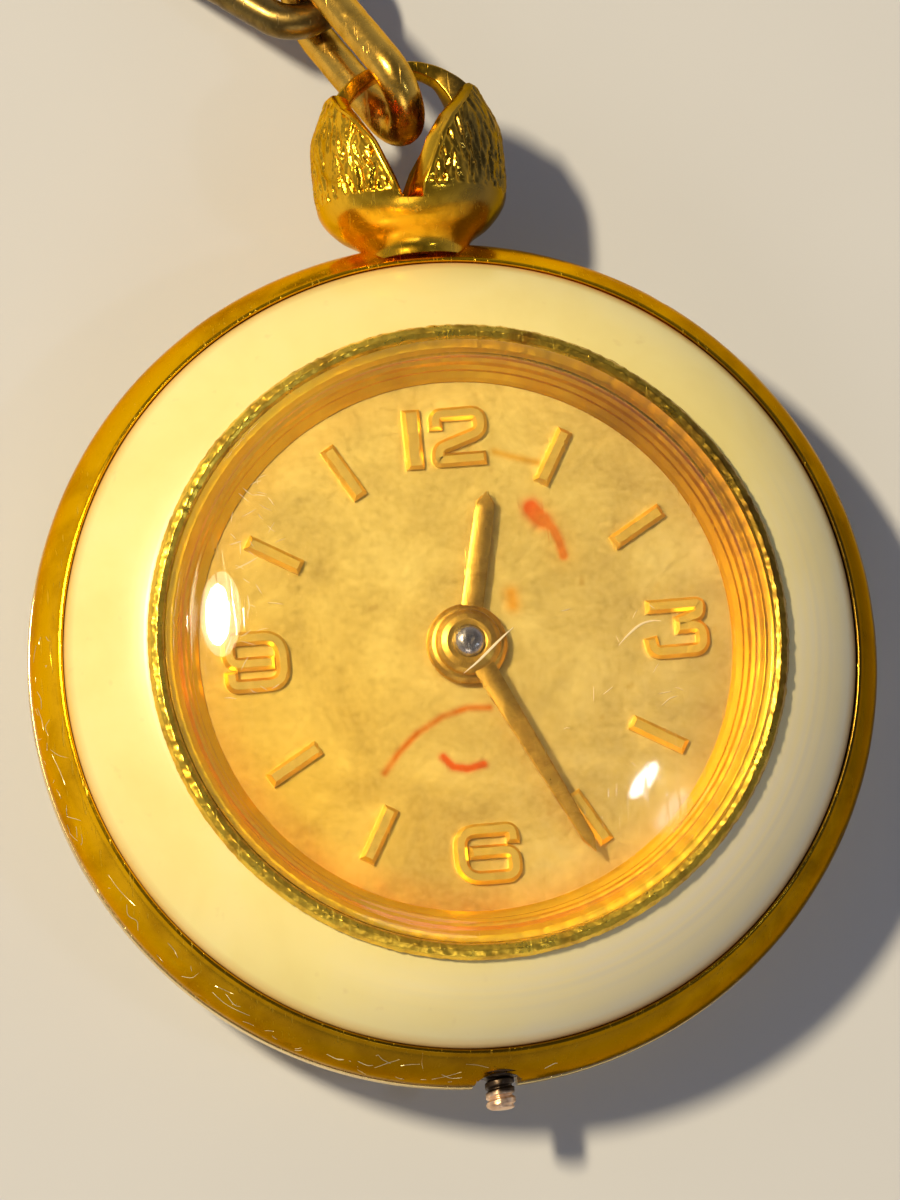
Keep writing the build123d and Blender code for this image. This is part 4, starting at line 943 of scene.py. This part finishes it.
# how far each petal's outer and inner edge stands from the middle of the cut
RIGHT_OUT = np.array([(0, 14.0), (0.05, 14.45), (0.2, 14.75), (0.45, 15.3), (0.75, 15.95), (1.2, 16.65), (1.72, 17.25), (2.0, 17.7), (2.05, 17.9)], float)
RIGHT_IN = np.array([(-0.02, 14.0), (-0.38, 14.12), (-0.30, 14.5), (-0.18, 14.75), (0.05, 15.3), (0.35, 15.95), (0.82, 16.65), (1.38, 17.25), (1.72, 17.7), (1.78, 17.9)], float)
LEFT_OUT = np.array([(0, 14.0), (0.62, 14.06), (0.70, 14.3), (0.86, 14.75), (1.08, 15.3), (1.33, 15.95), (1.74, 16.65), (2.12, 17.25), (2.24, 17.7), (2.27, 17.9)], float)
LEFT_IN = np.array([(0.02, 14.0), (0.48, 14.06), (0.56, 14.3), (0.72, 14.75), (0.94, 15.3), (1.18, 15.95), (1.50, 16.65), (1.72, 17.25), (1.78, 17.7), (1.8, 17.9)], float)
V0 = 14.0
N_LOW, N_UP, COLS, MID = 34, 100, 180, 8


def edge_at(table, y):
    return float(np.interp(y, table[:, 1], table[:, 0])) if y > V0 else 0.0


GRAINS = []
for _ in range(520):
    s, y = rng.uniform(-1.6, 1.6), rng.uniform(14.35, 17.9)
    tilt = rng.normal(0.08, 0.15) + (0.35 if rng.random() < 0.18 else 0.0)
    ln, wd, dp = rng.uniform(0.22, 0.66), rng.uniform(0.06, 0.125), rng.uniform(0.045, 0.10)
    if all((abs(s - g[0]) * 3.0 / 0.22) ** 2 + ((y - g[1]) / 0.48) ** 2 > 1 for g in GRAINS):
        GRAINS.append((s, y, tilt, ln, wd, dp))
GA = np.array(GRAINS)


def bark(phi, y, r, rim):
    """Depth of the chased strokes on a petal."""
    low = 14.36 + 0.06 * n3(phi * 4, 0, 0, 2.0, 1.0)
    mask = max(0.0, min(1.0, (rim - 0.17) / 0.06)) * max(0.0, min(1.0, (y - low) / 0.10))
    if mask <= 0:
        return 0.0
    ds = (phi - GA[:, 0]) * r
    dy = y - GA[:, 1]
    a = ds * np.cos(GA[:, 2]) - dy * np.sin(GA[:, 2])
    b = ds * np.sin(GA[:, 2]) + dy * np.cos(GA[:, 2])
    e = (a / GA[:, 4]) ** 2 + (b / GA[:, 3]) ** 2
    k = np.clip(1 - e, 0, 1) ** 0.8
    cut = float((k * GA[:, 5]).max())
    rough = 0.030 * n3(phi * 3, y * 0.45, 0, 4.0, 6.0) + 0.018 * n3(phi * 3, y, 0, 9.0, 2.0)
    return mask * (cut + rough + 0.02)


def half_bow(side, seed):
    verts, faces = [], []
    t_out, t_in = (RIGHT_OUT, RIGHT_IN) if side > 0 else (LEFT_OUT, LEFT_IN)

    def add(p):
        verts.append(p)
        return len(verts) - 1

    def at(r, y, phi):
        return (side * r * math.cos(phi), y, BZ + r * math.sin(phi))

    low_rows = [(float(np.interp(y, OUT[:, 1], OUT[:, 0])), y) for y in np.linspace(12.55, V0, N_LOW, endpoint=False)]
    up_y = [V0 + (17.85 - V0) * (q / (N_UP - 1)) ** 1.15 for q in range(N_UP)]
    outer, inner = [], []
    spread = [0.72 * k + 0.28 * math.sin(math.pi / 2 * k) for k in np.linspace(-1, 1, COLS)]
    for r, y in low_rows:
        outer.append([add((0.0, y, BZ + r * (1 if k > 0 else -1)) if abs(abs(k) - 1) < 1e-9 else at(r, y, k * math.pi / 2)) for k in spread])
    n0 = len(outer)
    for q, y in enumerate(up_y):
        r = float(np.interp(y, OUT[:, 1], OUT[:, 0]))
        vx = min(edge_at(t_out, y), r * 0.97)
        pm = math.acos(vx / r)
        row = []
        for k in spread:
            phi = k * pm
            rim = r * (pm - abs(phi)) + (0.0 if y > V0 + 0.03 else 9.0)
            top = 17.85 - y
            d = min(rim, top + 0.02)
            e = 0.10
            drop = (e - math.sqrt(max(0.0, e * e - (e - d) ** 2))) if d < e else 0.0
            rr = r - drop - bark(phi * side + seed, y, r, min(rim, top + 0.1))
            if abs(abs(k) - 1) < 1e-9 and q == 0:
                row.append(add((0.0, y, BZ + r * (1 if k > 0 else -1))))
            else:
                row.append(add(at(rr, y, phi)))
        outer.append(row)
    # inside
    i_low = [(float(a), float(b)) for a, b in INN if b < V0][::10]
    irows = []
    for r, y in i_low:
        irows.append([add((0.0, y, BZ + r * (1 if k > 0 else -1)) if abs(abs(k) - 1) < 1e-9 else at(r, y, k * math.pi / 2)) for k in spread])
    ni = len(irows)
    sel = INN[INN[:, 1] > V0 - 0.02]
    for q, y in enumerate(up_y):
        yi = V0 + (y - V0) * (17.68 - V0) / (17.85 - V0)
        r = float(np.interp(yi, sel[:, 1], sel[:, 0]))
        vx = max(-r * 0.6, min(edge_at(t_in, yi), r * 0.97))
        pm = math.acos(vx / r)
        irows.append([add((0.0, yi, BZ + r * (1 if k > 0 else -1)) if (abs(abs(k) - 1) < 1e-9 and q == 0) else at(r, yi, k * pm)) for k in spread])
    for grid in (outer, irows):
        for i in range(len(grid) - 1):
            for k in range(COLS - 1):
                faces.append((grid[i][k], grid[i][k + 1], grid[i + 1][k + 1], grid[i + 1][k]))
    # bottom of the outside
    c = add((0.0, 12.55, BZ))
    for k in range(COLS - 1):
        faces.append((c, outer[0][k + 1], outer[0][k]))
    # rims: a slightly rounded wall from outside to inside
    mids = {}

    def wall(a, b, push, skip=False):
        pa, pb = np.array(verts[a]), np.array(verts[b])
        out = [a]
        for m in range(1, MID):
            t = m / MID
            p = pa * (1 - t) + pb * t + np.array(push) * (0.0 if skip else 0.045 * math.sin(math.pi * t) ** 0.6)
            out.append(add(tuple(p)))
        out.append(b)
        return out

    for col in (0, COLS - 1):
        prev = None
        for q in range(N_UP):
            fade = min(1.0, q / 8)
            w = wall(outer[n0 + q][col], irows[ni + q][col], (-side * 0.85 * fade, 0.5 * fade, 0), q == 0)
            mids[(q, col)] = w
            if prev:
                for m in range(MID):
                    faces.append((prev[m], prev[m + 1], w[m + 1], w[m]))
            prev = w
    last = N_UP - 1
    prev = mids[(last, 0)]
    for k in range(1, COLS):
        w = mids[(last, COLS - 1)] if k == COLS - 1 else wall(outer[n0 + last][k], irows[ni + last][k], (0, 1.0, 0))
        for m in range(MID):
            faces.append((prev[m], prev[m + 1], w[m + 1], w[m]))
        prev = w
    # the collar is cut away above the edge of the back
    verts = [(x, y, 3.06) if (y < 13.2 and z < 3.06) else (x, y, z) for x, y, z in verts]
    return verts, faces


def ribbon():
    """The arch that the link hangs from: a flat strip, deep and wide at the petals and slim at the top."""
    verts, faces = [], []
    n = 80
    ring_n = None
    for i in range(n + 1):
        th = math.radians(14 + (180 - 26) * i / n)
        x = math.cos(th) * 2.36
        hw = float(np.interp(abs(x), [0, 1.2, 1.95, 2.3], [0.48, 0.5, 0.72, 0.92]))
        r_in = float(np.interp(x, [-2.3, -1.7, -0.4, 0.4, 1.2, 1.9, 2.3], [2.0, 2.12, 2.2, 2.2, 2.10, 1.82, 1.70]))
        r_out = float(np.interp(abs(x), [0, 1.2, 2.3], [2.52, 2.58, 2.60]))
        sec_ = rounded([(r_in, -hw, 0.06), (r_out, -hw, 0.08), (r_out, hw, 0.08), (r_in, hw, 0.06)], 4, support=10.0)
        ring_n = len(sec_)
        for r, z in sec_:
            rr = r + 0.02 * n3(math.cos(th) * 3, math.sin(th) * 3, z, 1.4, 2.0)
            verts.append((rr * math.cos(th), 16.35 + rr * math.sin(th), BZ + z))
    for i in range(n):
        for k in range(ring_n):
            m = (k + 1) % ring_n
            faces.append((i * ring_n + k, i * ring_n + m, (i + 1) * ring_n + m, (i + 1) * ring_n + k))
    faces.append(tuple(range(ring_n)))
    faces.append(tuple(n * ring_n + k for k in range(ring_n)))
    return verts, faces


body_v, body_f = joined([half_bow(1, 0.0), half_bow(-1, 0.13)])
v, f = joined([(body_v, body_f), ribbon()])
mesh_object("tulip_bow", v, f, m_bow, "case", ["bow"], 50)


# ------------------------------------------------------------------ links
def unit(a):
    a = np.array(a, float)
    return a / np.linalg.norm(a)


lean, drop, twist = math.radians(28.3), math.radians(24.0), math.radians(10.0)
hx, hy = -math.sin(lean), math.cos(lean)
d1 = np.array([hx * math.cos(drop), hy * math.cos(drop), -math.sin(drop)])
u1 = np.array([hx * math.sin(drop), hy * math.sin(drop), math.cos(drop)])
l1 = np.array([-hy, hx, 0.0])
t1 = math.cos(twist) * u1 - math.sin(twist) * l1
c1 = np.array([-0.58, 18.14, 4.42])
nn1 = unit(np.cross(d1, t1))
top1 = c1 + d1 * 4.9
lean2, drop2 = math.radians(50.0), math.radians(16.0)
d2 = np.array([-math.sin(lean2) * math.cos(drop2), math.cos(lean2) * math.cos(drop2), -math.sin(drop2)])
nn2 = np.array([t1[0] * 0.55, t1[1] * 0.55, t1[2] * 0.55 + 0.45])
nn2 = unit(nn2 - d2 * float(nn2 @ d2))
c2 = top1 + d2 * 0.12


def link_mesh(origin, along, normal, seed):
    """A long link of round wire, closed by a soldered joint in one of its bars."""
    h, w, s = 1.4, 0.575, 3.5
    x_, z_ = unit(along), unit(normal)
    y_ = np.cross(z_, x_)
    pts = []
    for k in range(34):
        a = math.pi / 2 + math.pi * k / 33
        pts.append((h * math.cos(a), h * math.sin(a)))
    for k in range(1, 22):
        pts.append((s * k / 22, -h))
    for k in range(34):
        a = -math.pi / 2 + math.pi * k / 33
        pts.append((s + h * math.cos(a), h * math.sin(a)))
    for k in range(1, 22):
        pts.append((s - s * k / 22, h))
    pts = np.array(pts)
    n = len(pts)
    ring_n = 36
    verts, faces = [], []
    for i in range(n):
        tan = pts[(i + 1) % n] - pts[i - 1]
        tan /= np.linalg.norm(tan)
        nor = np.array([-tan[1], tan[0]])
        seam = math.exp(-(((pts[i][0] - 1.6) / 0.10) ** 2)) if pts[i][1] > 1.3 else 0.0
        worn = math.exp(-(((pts[i][0] + 1.4) / 0.5) ** 2)) + math.exp(-(((pts[i][0] - 4.9) / 0.5) ** 2))
        for k in range(ring_n):
            a = 2 * math.pi * k / ring_n
            ca, sa = math.cos(a), math.sin(a)
            g = 0.010 * n3(pts[i][0], pts[i][1], a, 1.1, seed) + 0.009 * n3(pts[i][0] * 1.0 + ca, pts[i][1] + sa, seed, 3.4, seed)
            r = w - 0.008 + g - 0.02 * seam - 0.02 * worn * max(0.0, ca)
            q = pts[i] + nor * r * ca
            p = origin + x_ * q[0] + y_ * q[1] + z_ * (r * sa)
            verts.append(tuple(p))
    for i in range(n):
        j = (i + 1) % n
        for k in range(ring_n):
            m = (k + 1) % ring_n
            faces.append((i * ring_n + k, i * ring_n + m, j * ring_n + m, j * ring_n + k))
    return verts, faces


v, f = link_mesh(c1, d1, nn1, 3.0)
mesh_object("link_near", v, f, m_chain, "link_1", ["chain_link_1"], 60)
# The far link wears the painted-shade gilt.
v, f = link_mesh(c2, d2, nn2, 8.0)
mesh_object("link_far", v, f, m_chain_shaded, "link_2", ["chain_link_2"], 60)


# ------------------------------------------------------------------ winding stem
def turned_y(profile, segs, radius_fn=None):
    vs, fs = [], []
    q = len(profile)
    for j in range(segs):
        t = 2 * math.pi * j / segs
        for r, y in profile:
            rr = radius_fn(r, y, t) if radius_fn and r > 1e-6 else r
            vs.append((rr * math.cos(t), y, 4.0 + rr * math.sin(t)))
    for j in range(segs):
        k = (j + 1) % segs
        for i in range(q - 1):
            fs.append((j * q + i, j * q + i + 1, k * q + i + 1, k * q + i))
    return vs, fs


def thread(r, y, t):
    """A worn thread: the first turns are rounded over."""
    if -13.97 < y < -13.02:
        ph = ((y + 14.0) / 0.30 + t / (2 * math.pi)) % 1.0
        g = max(0.0, math.cos((ph - 0.5) * 2 * math.pi)) ** 1.3
        grit = 0.014 * n3(math.cos(t), y * 2, math.sin(t), 2.6, 4.0)
        return r - 0.085 * g * min(1.0, (y + 14.0) / 0.12) + grit
    return r


prof = [(0.0, -14.0), (0.22, -14.0), (0.32, -13.985), (0.39, -13.95), (0.43, -13.91), (0.452, -13.86)]
prof += [(0.452, y) for y in np.linspace(-13.83, -13.04, 44)]
prof += [(0.452, -13.02), (0.60, -13.0), (0.62, -12.96), (0.62, -11.39), (0.60, -11.36), (0.42, -11.34), (0.42, -8.14), (0.27, -8.11), (0.27, -7.81), (0.40, -7.78), (0.40, -6.62), (0.36, -6.60), (0.0, -6.60)]
v1, f1 = turned_y(prof, 72, thread)
sq = rounded([(-0.25, -0.25, 0.04), (0.25, -0.25, 0.04), (0.25, 0.25, 0.04), (-0.25, 0.25, 0.04)], 3, support=10.0)
sv = [(x, y, 4.0 + z) for y in (-6.7, -4.40, -4.35) for x, z in [(a * (0.9 if y == -4.35 else 1), b * (0.9 if y == -4.35 else 1)) for a, b in sq]]
qn = len(sq)
sf = [(i * qn + k, i * qn + (k + 1) % qn, (i + 1) * qn + (k + 1) % qn, (i + 1) * qn + k) for i in range(2) for k in range(qn)]
sf += [tuple(range(qn)), tuple(2 * qn + k for k in range(qn))]
v3, f3 = turned_y([(0.0, -4.4), (0.22, -4.4), (0.22, -3.80), (0.17, -3.75), (0.0, -3.75)], 40)
v, f = joined([(v1, f1), (sv, sf), (v3, f3)])
mesh_object("stem_bare", v, f, m_stem, "stem", ["winding_stem"], 50)

# ------------------------------------------------------------------ scratches that catch the light on the crystal
lines = []
for w_, pts in (
    (0.075, [(467, 671), (480, 660), (494, 646), (506, 634), (516, 625)]),
    (0.070, [(621, 641), (632, 629), (643, 620), (654, 616), (664, 616)]),
    (0.045, [(240, 572), (252, 566), (262, 560)]),
    (0.04, [(234, 548), (246, 544)]),
    (0.045, [(252, 598), (254, 612)]),
    (0.04, [(236, 640), (230, 656)]),
    (0.035, [(664, 700), (672, 693), (680, 690)]),
    (0.03, [(246, 520), (260, 512)]),
    (0.035, [(272, 500), (278, 508)]),
    (0.03, [(605, 690), (615, 682)]),
):
    cam_x, cam_y = [], []
    q = []
    for px, py in pts:
        x0, y0 = DIAL_FIT(px, py)
        # the crystal stands above the dial, so the same line of sight meets it nearer the camera
        for _ in range(3):
            dz = crystal_z(x0, y0) - 6.5
            xb, yb = DIAL_FIT(px, py)
            x0, y0 = xb - 0.128 * dz, yb - 0.169 * dz
        q.append((x0, y0))
    if len(q) == 2:
        q.insert(1, ((q[0][0] + q[1][0]) / 2 + 0.01, (q[0][1] + q[1][1]) / 2))
    lines.append(hairline(q, w_))
for _ in range(46):
    far = rng.random() < 0.22
    px, py = (rng.uniform(560, 700), rng.uniform(590, 760)) if far else (rng.uniform(226, 286), rng.uniform(476, 700))
    a, ln = rng.uniform(0, math.pi), rng.uniform(3, 8)
    q = []
    for k in (-1, 0, 1):
        xb, yb = DIAL_FIT(px + k * ln * math.cos(a), py + k * ln * math.sin(a) + (1 - abs(k)) * rng.uniform(-1, 1))
        dz = crystal_z(xb, yb) - 6.5
        q.append((xb - 0.128 * dz, yb - 0.169 * dz))
    if all(math.hypot(*w_) < 8.9 for w_ in q):
        lines.append(hairline(q, rng.uniform(0.018, 0.032), 0.003))
v, f = joined(lines)
mesh_object("crystal_scratches", v, f, m_fibre, "case", (), 60, 0.0002)

# ------------------------------------------------------------------ scratches and scuffs on the band
BAND = np.array(arc3((13.15, 3.3), (13.05, 4.35), (12.47, 5.36), 60))


def band_hair(pts, w):
    """A thin raised burr along the band, given by angle in degrees and height."""
    c = catmull(pts, 18)
    vs, fs = [], []
    n = len(c)
    for i, (deg, z) in enumerate(c):
        a, b = c[max(i - 1, 0)], c[min(i + 1, n - 1)]
        d = np.array([math.radians(b[0] - a[0]) * 13.0, b[1] - a[1]])
        d /= np.linalg.norm(d)
        q = np.array([-d[1], d[0]])
        ww = w / 2 * max(0.12, math.sin(math.pi * (i + 0.5) / n)) ** 0.6
        for side, up in ((-1, -0.008), (0, 0.010), (1, -0.008), (0, -0.02)):
            t, h = math.radians(deg) + q[0] * ww * side / 13.0, z + q[1] * ww * side
            r = rim_move(float(np.interp(h, BAND[:, 1], BAND[:, 0])), h, t)[0] + up
            vs.append((r * math.cos(t), r * math.sin(t), h))
    for i in range(n - 1):
        o, p = 4 * i, 4 * (i + 1)
        for a, b in ((0, 1), (1, 2), (2, 3), (3, 0)):
            fs.append((o + a, o + b, p + b, p + a))
    fs.append((0, 1, 2, 3))
    fs.append((4 * n - 4, 4 * n - 3, 4 * n - 2, 4 * n - 1))
    return vs, fs


burrs = [band_hair(p_, w_) for w_, p_ in (
    (0.045, [(212.0, 4.75), (213.2, 4.45), (214.6, 4.62), (215.6, 4.30)]),
    (0.05, [(224.0, 4.20), (225.2, 4.55), (225.6, 4.95)]),
    (0.06, [(228.6, 4.62), (231.2, 4.50), (234.6, 4.66)]),
    (0.045, [(230.2, 4.92), (232.0, 4.72), (232.8, 4.80)]),
    (0.10, [(246.2, 4.50), (247.8, 4.40), (249.6, 4.46)]),
    (0.06, [(250.4, 4.62), (251.8, 4.52), (252.6, 4.60)]),
    (0.04, [(180.0, 4.40), (181.2, 4.60), (182.6, 4.56)]),
    (0.04, [(184.4, 4.90), (185.2, 4.62), (186.4, 4.70)]),
    (0.04, [(197.4, 4.30), (198.4, 4.72), (199.0, 4.92)]),
    (0.04, [(262.0, 4.60), (263.4, 4.40), (264.8, 4.46)]),
    (0.05, [(276.0, 4.55), (277.4, 4.72), (278.0, 4.66)]),
)]
for _ in range(44):
    deg, z = rng.uniform(172, 268), rng.uniform(3.9, 5.15)
    dd, dz = rng.normal(0, 0.9), rng.normal(0, 0.14)
    burrs.append(band_hair([(deg - dd, z - dz), (deg + rng.normal(0, 0.12), z + rng.normal(0, 0.03)), (deg + dd, z + dz)], rng.uniform(0.018, 0.034)))
v, f = joined(burrs)
m_burr = metal("bright_burrs", (0.98, 0.86, 0.52), (0.90, 0.74, 0.38), (0.22, 0.38), 1500.0, 0.2, 1e-6)
mesh_object("band_scuffs", v, f, m_burr, "case", (), 60, 0.0002)

# ------------------------------------------------------------------ carried-over pieces
LOOK = {
    "movement_ring": m_brass, "case_clamps": m_steel, "case_clamp_screws": m_steel, "bow_post": m_steel,
    "cannon_pinion": m_steel, "hour_wheel": m_brass, "minute_wheel": m_brass, "setting_wheel": m_steel,
    "main_plate": m_brass, "barrel_bridge": m_bridge, "train_bridge": m_bridge, "pallet_bridge": m_bridge, "balance_cock": m_bridge,
    "jewels": m_ruby, "bridge_screws": m_steel, "crown_wheel_core": m_steel, "click_spring": m_spring, "wheel_posts": m_steel,
    "keyless_cover": m_steel, "keyless_screws": m_steel, "yoke_spring": m_spring, "hairspring": m_blue,
    "centre_arbor": m_steel, "centre_wheel": m_brass, "third_wheel": m_brass, "fourth_wheel": m_brass, "escape_wheel": m_steel,
    "barrel_drum": m_brass, "barrel_cover": m_brass, "mainspring": m_spring, "barrel_arbor": m_steel,
    "ratchet_wheel": m_steel, "ratchet_screw": m_steel, "crown_wheel": m_steel, "click": m_steel,
    "pallet_fork": m_steel, "balance_wheel": m_balance, "balance_staff": m_steel, "regulator": m_steel,
    "winding_pinion": m_stemsteel, "clutch_wheel": m_stemsteel, "setting_lever": m_steel, "yoke": m_steel,
}
for name, ob in nodes.items():
    mat = LOOK.get(name)
    if mat is None:
        continue
    ob.data.materials.clear()
    ob.data.materials.append(mat)

# ------------------------------------------------------------------ floor, light, camera
fm = bpy.data.meshes.new("floor")
seg = 96
fm.from_pydata([(2.5 * math.cos(2 * math.pi * k / seg), 2.5 * math.sin(2 * math.pi * k / seg), -0.00002) for k in range(seg)], [], [tuple(range(seg))])
floor = bpy.data.objects.new("floor", fm)
bpy.context.scene.collection.objects.link(floor)
fm.materials.append(m_floor)
floor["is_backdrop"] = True

TARGET = Vector((0, 0, 0.006))


def area(name, direction, dist, sx, sy, power, colour, up=(0, 1, 0)):
    li = bpy.data.lights.new(name, "AREA")
    li.shape = "ELLIPSE"
    li.size, li.size_y = sx, sy
    li.energy = power
    li.color = colour
    ob = bpy.data.objects.new(name, li)
    d = Vector(direction).normalized()
    z = d
    x = Vector(up).cross(z).normalized()
    y = z.cross(x)
    rot = Matrix((x, y, z)).transposed().to_4x4()
    ob.matrix_world = Matrix.Translation(TARGET + d * dist) @ rot
    bpy.context.scene.collection.objects.link(ob)
    return ob


area("key", (-0.512, 0.262, 0.818), 0.55, 0.034, 0.086, 3.3, (1.0, 0.84, 0.56))
area("key_halo", (-0.505, 0.262, 0.822), 0.56, 0.060, 0.125, 0.16, (1.0, 0.86, 0.62))
area("fill_right", (0.512, -0.244, 0.821), 0.55, 0.022, 0.06, 0.12, (0.72, 0.82, 1.0), (1, 0.9, 0))
area("soft_front", (-0.15, -0.75, 0.55), 0.9, 0.4, 0.3, 0.6, (1.0, 0.90, 0.78))

world = bpy.data.worlds.new("studio")
bpy.context.scene.world = world
world.use_nodes = True
wt = world.node_tree
bg = wt.nodes["Background"]
tc = wt.nodes.new("ShaderNodeTexCoord")
sp = wt.nodes.new("ShaderNodeSeparateXYZ")
wt.links.new(tc.outputs["Generated"], sp.inputs[0])
wr = wt.nodes.new("ShaderNodeValToRGB")
e = wr.color_ramp.elements
e[0].position, e[0].color = 0.0, (0.60, 0.60, 0.62, 1)
e[1].position, e[1].color = 1.0, (0.10, 0.10, 0.115, 1)
k = e.new(0.35)
k.color = (0.46, 0.46, 0.50, 1)
k = e.new(0.72)
k.color = (0.17, 0.17, 0.19, 1)
wt.links.new(sp.outputs["Z"], wr.inputs["Fac"])
wt.links.new(wr.outputs["Color"], bg.inputs["Color"])
bg.inputs["Strength"].default_value = 0.70

sc = bpy.context.scene
sc.view_settings.view_transform = "Standard"
sc.view_settings.look = "None"
sc.view_settings.exposure = 0.0
sc.cycles.caustics_refractive = False
sc.cycles.caustics_reflective = True
sc.cycles.max_bounces = 14
sc.cycles.transmission_bounces = 10
sc.cycles.glossy_bounces = 6
sc.cycles.transparent_max_bounces = 12
sc.cycles.sample_clamp_indirect = 6.0

TILT, AZ, ROLL, SCALE, CX, CY, DIST = math.radians(11.98), math.radians(232.8), math.radians(4.56), 32.527, -0.314, 1.676, 250.0
b = np.array([math.cos(AZ) * math.sin(TILT), math.sin(AZ) * math.sin(TILT), math.cos(TILT)])
r0 = np.array([math.cos(ROLL), -math.sin(ROLL), 0.0])
r_ = r0 - b * float(r0 @ b)
r_ /= np.linalg.norm(r_)
u_ = np.cross(b, r_)
loc = (np.array([0, 0, 5.0]) + CX * r_ + CY * u_ + DIST * b) * MM
cam = bpy.data.cameras.new("camera")
cam.sensor_fit = "VERTICAL"
cam.sensor_height = 36.0
cam.lens = 36.0 * DIST / (1200.0 / SCALE)
cam.clip_start, cam.clip_end = 0.01, 20.0
co = bpy.data.objects.new("camera", cam)
co.matrix_world = Matrix.Translation(Vector([float(x) for x in loc])) @ Matrix((Vector([float(x) for x in r_]), Vector([float(x) for x in u_]), Vector([float(x) for x in b]))).transposed().to_4x4()
sc.collection.objects.link(co)
sc.camera = co


def as_lists(bounds):
    if isinstance(bounds, dict):
        return {k2: as_lists(v2) for k2, v2 in bounds.items()}
    if isinstance(bounds, (list, tuple, set, np.ndarray, Vector)):
        return [as_lists(q) for q in bounds]
    return bounds if isinstance(bounds, (str, bool, type(None))) else float(bounds)


{"cad": as_lists(cad_size), "visual": as_lists(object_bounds())}
